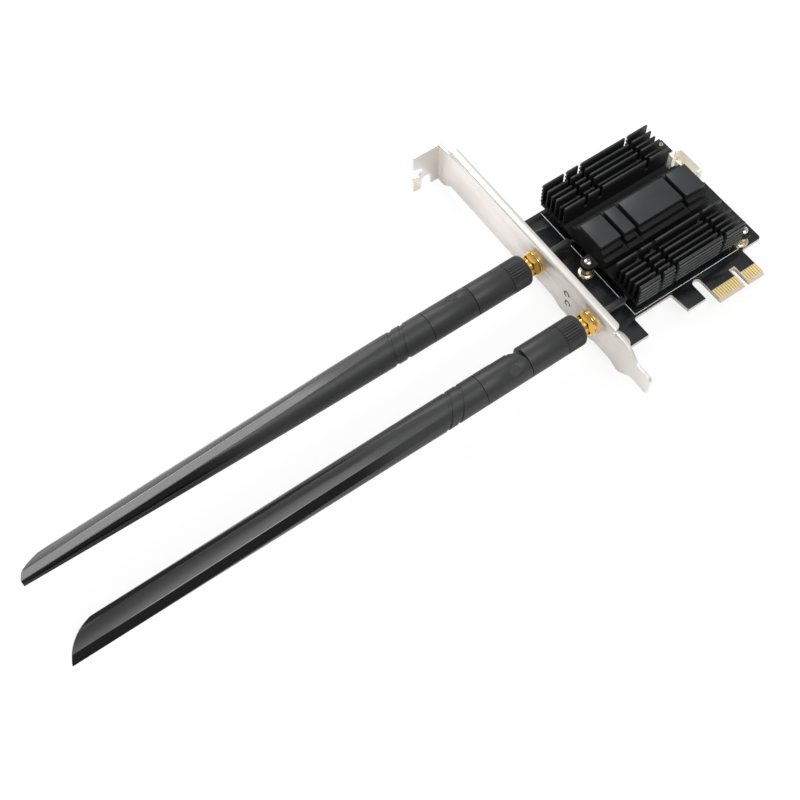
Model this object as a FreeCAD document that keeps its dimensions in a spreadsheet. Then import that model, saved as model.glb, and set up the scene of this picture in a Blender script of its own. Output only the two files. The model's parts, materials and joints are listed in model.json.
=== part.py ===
"""Wireless network card for a computer's expansion slot, with a finned heat sink and two hinged antennas.

Millimetres. The origin is the middle of the key notch's centre line where it meets the lower edge of the
edge connector, halfway through the board. +X runs along the board away from the bracket, +Y runs from the
edge connector towards the bracket's screw tab, and +Z leaves the component side of the board.
"""
import FreeCAD, Part
import Sketcher
import math
import os
import re

# Every driving size: the sheet's alias, its value and what it measures.
SIZES = [
    ("board_thick", 1.6, "thickness of the circuit board"),
    ("board_left", -55.15, "left edge, beside the bracket"),
    ("board_margin", 10.5, "right edge beyond the heat sink's right end"),
    ("board_top", 66.75, "upper edge"),
    ("board_bottom", 12.15, "lower edge of the main area"),
    ("board_round", 1.0, "rounding of the board's small corners"),
    ("foot_right", -41.45, "right side of the lower left extension"),
    ("foot_bottom", 4.05, "lower edge of the lower left extension"),
    ("hook_left", -24.45, "left side of the retaining hook"),
    ("hook_right", -15.75, "right side of the retaining hook"),
    ("hook_bottom", 3.9, "lower edge of the retaining hook"),
    ("tongue_left", -12.15, "left side of the edge connector"),
    ("tongue_right", 8.15, "right side of the edge connector"),
    ("key_wide", 1.9, "width of the key notch"),
    ("key_deep", 7.95, "depth of the key notch"),
    ("lead_in_tall", 1.15, "height of the connector's lead-in chamfer"),
    ("lead_in_deep", 0.45, "depth of the lead-in chamfer on each face"),
    ("header_notch", 2.0, "depth of the notch behind the pin header"),
    ("header_notch_top", 60.25, "upper end of that notch"),
    ("header_notch_low", 42.65, "lower end of that notch"),
    ("via_radius", 0.6, "tooling hole in the upper right corner"),
    ("via_inset", 1.5, "its distance from both edges"),
    ("contact_pitch", 1.0, "pitch of the gold contacts"),
    ("contact_wide", 0.7, "width of a contact"),
    ("contact_long", 4.0, "length of a contact"),
    ("contact_foot", 1.15, "gap below a contact"),
    ("contact_key_gap", 1.5, "key centre to the nearest contact's centre"),
    ("contact_thick", 0.05, "thickness of the plated contacts"),
    ("contacts_left", 11, "contacts on the bracket's side of the key"),
    ("contacts_right", 7, "contacts beyond the key"),
    ("sheet", 0.95, "thickness of the bracket's sheet"),
    ("bracket_face", -57.15, "outer face of the bracket"),
    ("bracket_low", -4.1, "lower edge of the bracket's face"),
    ("bracket_high", 14.45, "upper edge of the bracket's face and top of its flange"),
    ("bracket_bend", 1.2, "outer radius of the bends"),
    ("tab_bend", 0.9, "outer radius of the tab's bend"),
    ("flange_wide", 3.2, "width of the stiffening flange, face included"),
    ("flange_top", 99.25, "upper end of the flange"),
    ("flange_low", 6.65, "lower end of the flange"),
    ("flange_corner", 1.6, "rounding of the flange's corners"),
    ("tab_top", 106.65, "top of the folded screw tab"),
    ("tab_long", 11.43, "reach of the tab beyond the face"),
    ("tab_low", -7.6, "lower side of the tab"),
    ("tab_high", 11.7, "upper side of the tab"),
    ("neck_low", 99.85, "where the neck under the tab starts to narrow"),
    ("neck_step", 2.0, "length of that narrowing"),
    ("neck_high", 101.2, "where the upper edge steps out to the flange"),
    ("screw_slot_wide", 4.8, "width of the tab's screw slot"),
    ("screw_slot_z", 2.2, "height of the slot's centre line"),
    ("screw_slot_deep", 4.2, "depth of the slot from the tab's end"),
    ("tab_notch_wide", 3.9, "width of the tab's second notch"),
    ("tab_notch_x", 5.45, "distance of that notch's centre line from the face"),
    ("tab_notch_top", -1.5, "top of that notch"),
    ("relief", 1.9, "rise of the lower edge at its two shallow recesses"),
    ("relief_slope", 4.0, "length of a recess's slopes"),
    ("upper_relief_high", 52.65, "upper end of the upper recess"),
    ("upper_relief_low", 36.75, "lower end of the upper recess"),
    ("lower_relief_high", 13.95, "upper end of the lower recess"),
    ("lower_relief_low", 5.75, "lower end of the lower recess"),
    ("slot_flare", 0.8, "widening of the screw slot's mouth"),
    ("ear_bend", 0.4, "inner rounding at the foot of an ear"),
    ("flange_relief", 1.05, "relief cut below the flange"),
    ("tongue_end", -13.37, "lower end of the bracket"),
    ("tongue_low", 0.2, "lower side of the bracket's end tongue"),
    ("tongue_high", 9.8, "upper side of the end tongue"),
    ("ear_wide", 9.0, "width of the two ears on the board"),
    ("ear_long", 8.6, "reach of an ear from the outer face"),
    ("ear_screw_x", 5.8, "distance of the ear's screw from the outer face"),
    ("upper_ear_y", 62.15, "centre of the upper ear"),
    ("lower_ear_y", 7.75, "centre of the lower ear"),
    ("ear_thread", 1.5, "radius of the ear screw's thread"),
    ("ear_head", 2.75, "radius of the ear screw's head"),
    ("ear_head_tall", 1.9, "height of that head"),
    ("running", 0.05, "radial clearance of parts that turn or slide"),
    ("seat", 0.02, "radial clearance of parts that sit still"),
    ("upper_jack_y", 48.17, "axis of the antenna jack next to the tab"),
    ("jack_spacing", 30.0, "distance between the two jacks"),
    ("jack_z", 5.2, "height of both jack axes"),
    ("thread_radius", 3.15, "outer radius of the jack's thread"),
    ("thread_long", 10.6, "reach of the thread from the bracket"),
    ("jack_flange_af", 8.0, "hexagon across flats behind the bracket"),
    ("jack_flange_thick", 2.0, "thickness of that hexagon"),
    ("washer_thick", 0.6, "thickness of the lock washer"),
    ("washer_radius", 4.5, "outer radius of the lock washer"),
    ("nut_af", 8.0, "hexagon nut across flats"),
    ("nut_thick", 2.3, "thickness of the hexagon nut"),
    ("antenna_radius", 5.77, "radius of the antenna's round parts"),
    ("collar_front", 4.77, "gap from the bracket to the collar"),
    ("collar_long", 7.93, "length of the knurled collar"),
    ("collar_chamfer", 1.3, "chamfer of the collar's front"),
    ("seam", 0.15, "visible gap between two turned pieces"),
    ("barrel_long", 15.15, "length of the swivel barrel"),
    ("core_lip", 2.6, "radius of the collar's rear opening"),
    ("hinge_gap", 0.3, "gap at the hinge's seam"),
    ("hinge_back", 6.2, "distance of the hinge pin from the barrel's end"),
    ("hinge_pin", 2.0, "radius of the hinge pin"),
    ("hinge_pin_long", 11.2, "length of the hinge pin"),
    ("hinge_nose", 5.9, "radius of the knuckle's rounded corner"),
    ("hinge_tongue", 3.5, "thickness of the barrel's hinge tongue"),
    ("hinge_tongue_end", 4.6, "end radius of that tongue"),
    ("hinge_side", 0.15, "side clearance of the tongue in its slot"),
    ("knuckle_long", 18.3, "length of the knuckle"),
    ("blade_long", 155.7, "length of the antenna's blade"),
    ("blade_straight", 14.5, "length of the blade's round base"),
    ("blade_tip_radius", 5.1, "radius of the round form at the tip"),
    ("edge_facet_turn", 63.3, "lean of the facet beside the thin edge, in degrees from the edge"),
    ("ridge_facet_turn", 77.3, "lean of the middle facet, in degrees from the thin edge"),
    ("spine_facet_turn", 105.1, "lean of the facet beside the spine, in degrees from the thin edge"),
    ("edge_facet_tip", 2.38, "distance of the first facet from the axis at the tip"),
    ("ridge_facet_tip", 1.5, "distance of the middle facet from the axis at the tip"),
    ("spine_facet_tip", 2.4, "distance of the last facet from the axis at the tip"),
    ("tip_slope", 10.6, "length of the slanted tip"),
    ("tip_curve", 16.5, "radius of the tip's curve"),
    ("tip_curve_back", 15.2, "centre of that curve behind the tip"),
    ("tip_curve_off", 11.1, "centre of that curve beside the axis"),
    ("upper_roll", -28.0, "turn of the upper antenna about its axis"),
    ("lower_roll", 29.0, "turn of the lower antenna about its axis"),
    ("sink_left", -40.15, "left end of the heat sink"),
    ("sink_long", 47.0, "length of the heat sink along the card"),
    ("sink_y", 40.05, "centre line of the heat sink"),
    ("sink_under", 5.4, "underside of the heat sink's plate"),
    ("sink_plate", 1.4, "thickness of the plate"),
    ("fin_thick", 0.7, "thickness of a fin"),
    ("fin_first", 14.15, "centre line to the innermost fin"),
    ("fin_pitch", 2.42, "pitch of the fins"),
    ("fin_a", 16.4, "top of the innermost fin"),
    ("fin_b", 14.7, "top of the second fin"),
    ("fin_c", 16.0, "top of the third fin"),
    ("fin_d", 15.3, "top of the fourth fin"),
    ("fin_e", 15.8, "top of the fifth fin"),
    ("fin_f", 16.8, "top of the outermost fin"),
    ("block_half", 5.6, "half width of the middle block's top"),
    ("block_step", 1.9, "width of each of its steps"),
    ("block_top", 16.0, "top of the middle block"),
    ("block_first", 13.6, "top of its first step"),
    ("block_second", 11.2, "top of its second step"),
    ("cut_wide", 1.7, "width of the cross cuts"),
    ("cut_floor", 10.8, "bottom of the cross cuts"),
    ("cut_one", 9.65, "first cross cut from the left end"),
    ("cut_two", 16.1, "second cross cut from the left end"),
    ("cut_three", 37.5, "third cross cut from the left end"),
    ("lug_radius", 2.7, "radius of the heat sink's two screw lugs"),
    ("left_lug_out", 2.6, "left lug's hole beyond the heat sink's left end"),
    ("left_lug_off", -3.4, "left lug's hole from the heat sink's centre line"),
    ("right_lug_out", 3.4, "right lug's hole beyond the heat sink's right end"),
    ("right_lug_off", -24.7, "right lug's hole from the heat sink's centre line"),
    ("sink_screw", 1.0, "radius of the heat sink screws"),
    ("sink_screw_reach", 3.4, "reach of those screws into the posts"),
    ("sink_head", 1.6, "radius of their heads"),
    ("sink_head_tall", 1.2, "height of their heads"),
    ("lead_drop", 0.65, "a lead's exit below the jack's axis"),
    ("post_radius", 1.85, "radius of the brass posts"),
    ("module_left", -36.15, "free end of the wireless module"),
    ("module_long", 30.0, "length of the module's board"),
    ("module_wide", 22.0, "width of the module's board"),
    ("module_y", 36.65, "centre line of the module"),
    ("module_under", 2.75, "underside of the module's board"),
    ("module_thick", 0.8, "thickness of the module's board"),
    ("shield_inset", 1.2, "gap from the module's edges to its shield"),
    ("shield_start", 6.4, "gap from the module's free end to its shield"),
    ("shield_end", 5.2, "gap from the module's contact end to its shield"),
    ("shield_tall", 1.25, "height of the shield"),
    ("shield_wall", 0.2, "sheet thickness of the shield"),
    ("pad_gap", 1.0, "gap from the shield's edges to the thermal pad"),
    ("socket_long", 7.5, "length of the module's socket along the card"),
    ("socket_wide", 23.0, "width of the socket"),
    ("socket_tall", 3.9, "height of the socket"),
    ("socket_grip", 2.5, "depth of the socket's slot"),
    ("socket_room", 0.05, "clearance of the module in its slot"),
    ("module_post", 2.2, "radius of the module's post"),
    ("module_screw", 1.0, "radius of the module's screw"),
    ("module_head", 1.7, "radius of that screw's head"),
    ("module_head_tall", 0.7, "height of that head"),
    ("module_notch", 1.75, "radius of the half-round notch for that screw"),
    ("plug_radius", 1.25, "radius of a coaxial plug on the module"),
    ("plug_tall", 1.25, "height of a coaxial plug"),
    ("plug_inset_x", 3.5, "plug from the module's free end"),
    ("plug_inset_y", 4.0, "plug from the module's side"),
    ("lead_radius", 0.57, "radius of the thin coaxial leads"),
    ("sleeve_radius", 1.55, "radius of the shrink sleeves"),
    ("sleeve_end", 15.2, "end of a sleeve from the bracket"),
    ("header_inset", 6.75, "left side of the pin header from the board's right edge"),
    ("header_wide", 5.75, "width of the pin header"),
    ("header_long", 12.4, "length of the pin header"),
    ("header_tall", 7.0, "height of the pin header"),
    ("header_y", 50.05, "centre of the pin header"),
    ("header_wall", 0.7, "wall of the pin header"),
    ("header_floor", 1.9, "floor of the pin header"),
    ("header_slot", 1.6, "width of the guide slots in its wall"),
    ("pin_x", 2.25, "pins from the header's left side"),
    ("pin_pitch", 2.5, "pitch of the header's pins"),
    ("pin_wide", 0.64, "width of a pin"),
    ("pin_top", 5.6, "top of the pins above the board"),
    ("pin_tail", 1.3, "length of the pins under the board"),
    ("pins", 4, "pins in the header"),
    ("chip_long", 2.0, "length of a chip capacitor"),
    ("chip_wide", 1.25, "width of a chip capacitor"),
    ("chip_tall", 0.85, "height of a chip capacitor"),
    ("chip_pitch", 3.4, "pitch of the row of chip capacitors"),
    ("chips", 5, "capacitors in the row"),
    ("chip_x", 3.4, "place of the row along the card"),
    ("chip_y", 24.6, "first capacitor of the row"),
]

doc = FreeCAD.newDocument("wireless_card")
sheet = doc.addObject("Spreadsheet::Sheet", "Sizes")
for row, (alias, value, note) in enumerate(SIZES, start=1):
    sheet.set(f"A{row}", note)
    sheet.set(f"B{row}", str(value))
    sheet.setAlias(f"B{row}", alias)
doc.recompute()
ALIASES = {alias for alias, value, note in SIZES}
AXES = {"x": FreeCAD.Vector(1, 0, 0), "y": FreeCAD.Vector(0, 1, 0), "z": FreeCAD.Vector(0, 0, 1)}
HEX_SHARE = 1 / math.sqrt(3)
nodes = []


def formula(text):
    """A sum of sheet aliases as a document expression."""
    return re.sub(r"[A-Za-z_]\w*", lambda m: "Sizes." + m[0] if m[0] in ALIASES else m[0], str(text))


def number(text):
    """The value of such a sum."""
    return float(sheet.evalExpression(formula(text)))


def bind(thing, **sizes):
    """Ties properties of an object to sums of sheet aliases."""
    for name, text in sizes.items():
        thing.setExpression(name, formula(text))
    return thing


def put(thing, x="0", y="0", z="0"):
    """Ties an object's place to the sheet."""
    for letter, text in (("x", x), ("y", y), ("z", z)):
        thing.setExpression("Placement.Base." + letter, formula(text))
    return thing


def turned(thing, axis, degrees):
    """Turns an object about one axis through its own origin."""
    thing.Placement = FreeCAD.Placement(thing.Placement.Base, FreeCAD.Rotation(AXES[axis], degrees))
    return thing


def node(thing, label):
    """Names a finished sub-part, which gets a file of its own."""
    thing.Label = label
    nodes.append(thing)
    return thing


def origin_part(body, role):
    """One of a body's own origin planes or axes."""
    return next(part for part in body.Origin.OriginFeatures if part.Role == role)


def new_body(name):
    """An empty body."""
    return doc.addObject("PartDesign::Body", name)


def sketch_on(body, name, plane, height="0"):
    """A sketch on one of the body's origin planes, moved along that plane's normal."""
    sketch = body.newObject("Sketcher::SketchObject", name)
    sketch.AttachmentSupport = [(origin_part(body, plane), "")]
    sketch.MapMode = "FlatFace"
    sketch.setExpression("AttachmentOffset.Base.z", formula(height))
    return sketch


def pin_point(sketch, geometry, end, x, y):
    """Ties one point of a sketch to the sheet."""
    across = sketch.addConstraint(point_distance("DistanceX", geometry, end, number(x)))
    sketch.setExpression(f"Constraints[{across}]", formula(x))
    along = sketch.addConstraint(point_distance("DistanceY", geometry, end, number(y)))
    sketch.setExpression(f"Constraints[{along}]", formula(y))


def point_distance(kind, geometry, end, value):
    """A distance constraint from the sketch's origin to a point."""
    return Sketcher.Constraint(kind, -1, 1, geometry, end, value)


def polygon(sketch, points):
    """A closed outline through points, each tied to the sheet."""
    corners = [FreeCAD.Vector(number(x), number(y), 0) for x, y in points]
    first = sketch.GeometryCount
    for here, there in zip(corners, corners[1:] + corners[:1]):
        sketch.addGeometry(Part.LineSegment(here, there), False)
    count = len(points)
    for index in range(count):
        following = first + (index + 1) % count
        sketch.addConstraint(Sketcher.Constraint("Coincident", first + index, 2, following, 1))
    for index, (x, y) in enumerate(points):
        pin_point(sketch, first + index, 1, x, y)
    return sketch


def rectangle(sketch, left, low, right, high):
    """A rectangle between two corners."""
    return polygon(sketch, [(left, low), (right, low), (right, high), (left, high)])


def ring(sketch, x, y, radius):
    """A full circle."""
    index = sketch.addGeometry(Part.Circle(FreeCAD.Vector(number(x), number(y), 0), AXES["z"], number(radius)), False)
    size = sketch.addConstraint(Sketcher.Constraint("Radius", index, number(radius)))
    sketch.setExpression(f"Constraints[{size}]", formula(radius))
    pin_point(sketch, index, 3, x, y)
    return sketch


def hexagon(sketch, flats):
    """A hexagon round the sketch's origin with its flats up and down."""
    half, side = f"{flats} / 2", f"{flats} * {HEX_SHARE / 2:.9f}"
    point = f"{flats} * {HEX_SHARE:.9f}"
    return polygon(sketch, [(point, "0"), (side, half), (f"-{side}", half), (f"-{point}", "0"),
                            (f"-{side}", f"-{half}"), (side, f"-{half}")])


def pad(body, sketch, length, reverse=False):
    """Material along the sketch's normal, or against it."""
    feature = body.newObject("PartDesign::Pad", sketch.Name + "_pad")
    feature.Profile = sketch
    feature.Reversed = reverse
    bind(feature, Length=length)
    body.Tip = feature
    doc.recompute()
    if feature.Shape.isNull():
        raise RuntimeError(f"{feature.Name} fails")
    return feature


def pocket(body, sketch, length, reverse=False):
    """A cut against the sketch's normal, or along it when reversed, checked to remove something."""
    before = body.Tip.Shape.Volume
    feature = body.newObject("PartDesign::Pocket", sketch.Name + "_pocket")
    feature.Profile = sketch
    feature.Reversed = reverse
    bind(feature, Length=length)
    body.Tip = feature
    doc.recompute()
    if feature.Shape.Volume >= before - 1e-6:
        raise RuntimeError(f"{feature.Name} cuts nothing")
    return feature


def revolve(body, sketch, cut=False):
    """A turned form about the body's X axis."""
    kind = "PartDesign::Groove" if cut else "PartDesign::Revolution"
    feature = body.newObject(kind, sketch.Name + "_turned")
    feature.Profile = sketch
    feature.ReferenceAxis = (origin_part(body, "X_Axis"), [""])
    feature.Angle = 360
    body.Tip = feature
    doc.recompute()
    return feature


def edges_where(shape, test):
    """The names of the edges whose middle point and direction pass a test."""
    found = []
    for index, edge in enumerate(shape.Edges, start=1):
        middle = edge.valueAt((edge.FirstParameter + edge.LastParameter) / 2)
        start, end = edge.valueAt(edge.FirstParameter), edge.valueAt(edge.LastParameter)
        if test(middle, end - start):
            found.append(f"Edge{index}")
    return found


def fillet(body, radius, test, name):
    """Rounds the edges that pass a test."""
    base = body.Tip
    found = edges_where(base.Shape, test)
    if not found:
        raise RuntimeError(f"{name} finds no edge")
    feature = body.newObject("PartDesign::Fillet", name)
    feature.Base = (base, found)
    bind(feature, Radius=radius)
    body.Tip = feature
    doc.recompute()
    if feature.Shape.isNull():
        raise RuntimeError(f"{name} fails")
    return feature


def upright_at(spots, tolerance=0.02):
    """A test for edges along Z that stand at given places."""
    places = [(number(x), number(y)) for x, y in spots]

    def test(middle, along):
        straight = abs(along.z) > 1e-3 and abs(along.x) + abs(along.y) < 1e-6
        return straight and any(math.hypot(middle.x - x, middle.y - y) < tolerance for x, y in places)
    return test


def box(name, x, y, z, length, width, height):
    """A box from its lowest corner and its sizes."""
    solid = doc.addObject("Part::Box", name)
    bind(solid, Length=length, Width=width, Height=height)
    return put(solid, x, y, z)


def upright(name, radius, height, x="0", y="0", z="0"):
    """A cylinder along +Z."""
    solid = doc.addObject("Part::Cylinder", name)
    bind(solid, Radius=radius, Height=height)
    return put(solid, x, y, z)


def outward(name, radius, start, length, y="0", z="0"):
    """A cylinder along -X, measured from the bracket outwards."""
    solid = doc.addObject("Part::Cylinder", name)
    bind(solid, Radius=radius, Height=length)
    turned(solid, "y", -90)
    return put(solid, f"-({start})", y, z)


def joined(name, *things):
    """Several solids as one."""
    solid = doc.addObject("Part::MultiFuse", name)
    solid.Shapes = list(things)
    return solid


def less(name, base, *tools):
    """A solid with others cut out of it."""
    for index, tool in enumerate(tools):
        cut = doc.addObject("Part::Cut", f"{name}_{index}")
        cut.Base = base
        cut.Tool = tool
        base = cut
    return base


def shared(name, *things):
    """What several solids have in common."""
    solid = doc.addObject("Part::MultiCommon", name)
    solid.Shapes = list(things)
    return solid


def group(name, *things):
    """Separate solids in one sub-part."""
    solid = doc.addObject("Part::Compound", name)
    solid.Links = list(things)
    return solid


def plain_screw(name, thread, shank, head, head_tall):
    """A screw: its head stands on the ground plane and its shank hangs below."""
    shaft = upright(f"{name}_shaft", thread, f"{shank} + {head_tall} / 2", "0", "0", f"-({shank})")
    cap = upright(f"{name}_cap", head, head_tall)
    return joined(f"{name}_form", shaft, cap)


SINK_RIGHT = "sink_left + sink_long"
BOARD_RIGHT = f"{SINK_RIGHT} + board_margin"
HEADER_LEFT = f"{SINK_RIGHT} + board_margin - header_inset"
LUGS = {
    "left_lug": ("sink_left - left_lug_out", "sink_y + left_lug_off"),
    "right_lug": (f"{SINK_RIGHT} + right_lug_out", "sink_y + right_lug_off")}
BOARD_FACE = "board_thick / 2"
BOARD_BACK = "(-board_thick / 2)"
SINK_FLOOR = "sink_under + sink_plate"


def circuit_board():
    """The printed board with its edge connector, retaining hook and notches."""
    body = new_body("board")
    outline = sketch_on(body, "board_outline", "XY_Plane", BOARD_BACK)
    polygon(outline, [
        ("board_left", "board_top"), ("board_left", "foot_bottom"), ("foot_right", "foot_bottom"),
        ("foot_right", "board_bottom"), ("hook_left", "board_bottom"), ("hook_left + 0.8", "hook_bottom"),
        ("hook_right", "hook_bottom"), ("hook_right", "board_bottom"), ("tongue_left", "board_bottom"),
        ("tongue_left", "0"), ("-key_wide / 2", "0"), ("-key_wide / 2", "key_deep"),
        ("key_wide / 2", "key_deep"), ("key_wide / 2", "0"), ("tongue_right", "0"),
        ("tongue_right", "board_bottom"), (BOARD_RIGHT, "board_bottom"), (BOARD_RIGHT, "header_notch_low"),
        (f"{BOARD_RIGHT} - header_notch", "header_notch_low"), (f"{BOARD_RIGHT} - header_notch", "header_notch_top"),
        (BOARD_RIGHT, "header_notch_top"), (BOARD_RIGHT, "board_top")])
    pad(body, outline, "board_thick")
    fillet(body, "(tongue_left - hook_right) / 2 - 0.01", upright_at(
        [("hook_right", "board_bottom"), ("tongue_left", "board_bottom")]), "slot_end")
    fillet(body, "key_wide / 2 - 0.01", upright_at(
        [("-key_wide / 2", "key_deep"), ("key_wide / 2", "key_deep")]), "key_end")
    fillet(body, "board_round", upright_at(
        [("foot_right", "board_bottom"), ("hook_left", "board_bottom"), ("tongue_right", "board_bottom"),
         (BOARD_RIGHT, "board_bottom"), ("board_left", "board_top")]), "board_corners")
    for side, face in (("front", BOARD_FACE), ("back", BOARD_BACK)):
        inward, outward_sign = ("-", "+") if side == "front" else ("+", "-")
        lead_in = sketch_on(body, f"lead_in_{side}", "YZ_Plane", "tongue_left - 1")
        polygon(lead_in, [("-1", f"{face} {inward} lead_in_deep"), ("0", f"{face} {inward} lead_in_deep"),
                          ("lead_in_tall", face), ("lead_in_tall", f"{face} {outward_sign} 1"),
                          ("-1", f"{face} {outward_sign} 1")])
        pocket(body, lead_in, "tongue_right - tongue_left + 2", True)
    holes = sketch_on(body, "board_holes", "XY_Plane", BOARD_FACE)
    ring(holes, f"{BOARD_RIGHT} - via_inset", "board_top - via_inset", "via_radius")
    for ear in ("upper_ear_y", "lower_ear_y"):
        ring(holes, "bracket_face + ear_screw_x", ear, "ear_thread + 0.15")
    half = "pin_wide / 2 + seat"
    for index in range(int(number("pins"))):
        x, y = f"{HEADER_LEFT} + pin_x", header_pin_y(index)
        rectangle(holes, f"{x} - ({half})", f"{y} - ({half})", f"{x} + {half}", f"{y} + {half}")
    pocket(body, holes, "board_thick")
    return node(body, "circuit_board")


def edge_contacts(label, low):
    """The row of gold contacts on one face of the edge connector, as separate plated strips."""
    strips = []
    left, right = int(number("contacts_left")), int(number("contacts_right"))
    for index in list(range(-left, 0)) + list(range(1, right + 1)):
        away = f"{abs(index) - 1} * contact_pitch + contact_key_gap"
        centre = f"-({away})" if index < 0 else f"({away})"
        strips.append(box(f"{label}_{len(strips)}", f"{centre} - contact_wide / 2", "contact_foot", low,
                          "contact_wide", "contact_long", "contact_thick"))
    return node(group(label, *strips), label)


def bracket():
    """The folded steel bracket: face, flange, screw tab, end tongue and two ears on the board."""
    body = new_body("bracket_sheet")
    low, high, raised = "bracket_low", "bracket_high", "bracket_low + relief"
    face = sketch_on(body, "face_outline", "YZ_Plane", "bracket_face")
    polygon(face, [
        ("tab_top", "tab_high"), ("neck_high", "tab_high + 1"), ("neck_high - 0.8", "bracket_high - 1.8"),
        ("flange_top", "bracket_high - 1.8"), ("flange_top", high), ("flange_low", high),
        ("flange_low", "bracket_high - 1.6"), ("flange_low - flange_relief", "bracket_high - 1.6"),
        ("flange_low - flange_relief", high), ("-0.85", high), ("-2.6", "bracket_high - 1.2"),
        ("-5.85", "tongue_high + 0.6"), ("-7.2", "tongue_high + 0.1"), ("tongue_end + 1.1", "tongue_high"),
        ("tongue_end", "tongue_high - 1.1"), ("tongue_end", "tongue_low + 1.1"),
        ("tongue_end + 1.1", "tongue_low"), ("-6.35", "tongue_low + 0.3"), ("-4.15", "tongue_low - 0.4"),
        ("0.25", "bracket_low + 0.5"), ("lower_relief_low - relief_slope", low),
        ("lower_relief_low", raised), ("lower_relief_high", raised), ("lower_relief_high + relief_slope", low),
        ("upper_relief_low - relief_slope", low), ("upper_relief_low", raised), ("upper_relief_high", raised),
        ("upper_relief_high + relief_slope", low), ("neck_low - neck_step", low), ("neck_low", "tab_low + 1.6"),
        ("neck_low + 2.2", "tab_low"), ("tab_top", "tab_low")])
    pad(body, face, "sheet")
    flange = sketch_on(body, "flange_outline", "XY_Plane", "bracket_high - sheet")
    rectangle(flange, "bracket_face", "flange_low", "bracket_face + flange_wide", "flange_top")
    pad(body, flange, "sheet")
    fillet(body, "flange_corner", upright_at(
        [("bracket_face + flange_wide", "flange_low"), ("bracket_face + flange_wide", "flange_top")]), "flange_ends")
    tab = sketch_on(body, "tab_outline", "XZ_Plane", "-tab_top")
    rectangle(tab, "bracket_face - tab_long", "tab_low", "bracket_face + sheet", "tab_high")
    pad(body, tab, "sheet")
    ears = sketch_on(body, "ear_outline", "XY_Plane", BOARD_FACE)
    for ear in ("upper_ear_y", "lower_ear_y"):
        rectangle(ears, "bracket_face", f"{ear} - ear_wide / 2", "bracket_face + ear_long", f"{ear} + ear_wide / 2")
    pad(body, ears, "sheet")
    fillet(body, "ear_wide / 2 - 0.9", upright_at(
        [("bracket_face + ear_long", f"{ear} {sign} ear_wide / 2") for ear in ("upper_ear_y", "lower_ear_y")
         for sign in "+-"]), "ear_ends")
    tab_cuts(body)

    def flange_bend(middle, along):
        outer = abs(middle.x - number("bracket_face")) < 0.01
        return outer and abs(middle.z - number(high)) < 0.01 and abs(along.y) > 20

    def tab_fold(middle, along):
        inner = abs(middle.x - number("bracket_face + sheet")) < 0.01
        return inner and abs(middle.y - number("tab_top")) < 0.01 and abs(along.z) > 10
    fillet(body, "bracket_bend", flange_bend, "outer_bend")
    fillet(body, "tab_bend", tab_fold, "tab_fold")

    def ear_feet(middle, along):
        inner = abs(middle.x - number("bracket_face + sheet")) < 0.01
        return inner and abs(middle.z - number("board_thick / 2 + sheet")) < 0.01 and abs(along.y) > 5
    fillet(body, "ear_bend", ear_feet, "ear_bends")
    holes = sketch_on(body, "jack_holes", "YZ_Plane", "bracket_face - 1")
    for height in ("upper_jack_y", "upper_jack_y - jack_spacing"):
        ring(holes, height, "jack_z", "thread_radius + 0.1")
    pocket(body, holes, "sheet + 2", True)
    threads = sketch_on(body, "ear_threads", "XY_Plane", "board_thick / 2 + sheet + 1")
    for ear in ("upper_ear_y", "lower_ear_y"):
        ring(threads, "bracket_face + ear_screw_x", ear, "ear_thread + seat")
    pocket(body, threads, "sheet + 2")
    return node(body, "bracket")


def tab_cuts(body):
    """The screw slot with its flared mouth and the round notch in the bracket's tab."""
    tab_end = "bracket_face - tab_long"
    reach = f"{tab_end} + screw_slot_deep"
    low, high = "screw_slot_z - screw_slot_wide / 2", "screw_slot_z + screw_slot_wide / 2"
    notch_x = "bracket_face - tab_notch_x"
    slots = sketch_on(body, "tab_openings", "XZ_Plane", "-tab_top - 1")
    polygon(slots, [(f"{tab_end} - 1", f"{low} - slot_flare * 0.4"), (tab_end, f"{low} - slot_flare * 0.4"),
                    (f"{tab_end} + 1.2", low), (reach, low), (reach, high), (f"{tab_end} + 1.6", high),
                    (tab_end, f"{high} + slot_flare"), (f"{tab_end} - 1", f"{high} + slot_flare")])
    rectangle(slots, f"{notch_x} - tab_notch_wide / 2", "tab_low - 1", f"{notch_x} + tab_notch_wide / 2",
              "tab_notch_top")
    pocket(body, slots, "sheet + 2", True)

    def through(middle, along):
        straight = abs(along.y) > 0.5 * number("sheet") and abs(along.x) + abs(along.z) < 1e-6
        return straight and middle.y > number("tab_top - sheet - 0.1")

    def slot_end(middle, along):
        return through(middle, along) and abs(middle.x - number(reach)) < 0.02 and -0.6 < middle.z < 5

    def notch_end(middle, along):
        near = abs(middle.x - number(notch_x)) < 3
        return through(middle, along) and near and abs(middle.z - number("tab_notch_top")) < 0.02

    def tab_corners(middle, along):
        at_end = abs(middle.x - number(tab_end)) < 0.02
        below = abs(middle.z - number("tab_low")) < 0.02 and middle.x < number("bracket_face") - 1
        return through(middle, along) and (at_end or below)
    fillet(body, "screw_slot_wide / 2 - 0.05", slot_end, "slot_round")
    fillet(body, "tab_notch_wide / 2 - 0.05", notch_end, "notch_round")
    fillet(body, "0.9", tab_corners, "tab_rounds")


def ear_screws():
    """The two screws that come from the board's back and clamp it to the bracket's ears."""
    screws = []
    for index, ear in enumerate(("upper_ear_y", "lower_ear_y")):
        screw = plain_screw(f"ear_screw_{index}", "ear_thread", "board_thick + sheet", "ear_head", "ear_head_tall")
        screws.append(put(turned(screw, "x", 180), "bracket_face + ear_screw_x", ear, BOARD_BACK))
    return node(group("bracket_screws", *screws), "bracket_screws")


FIN_TOPS = ("fin_a", "fin_b", "fin_c", "fin_d", "fin_e", "fin_f")


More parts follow.
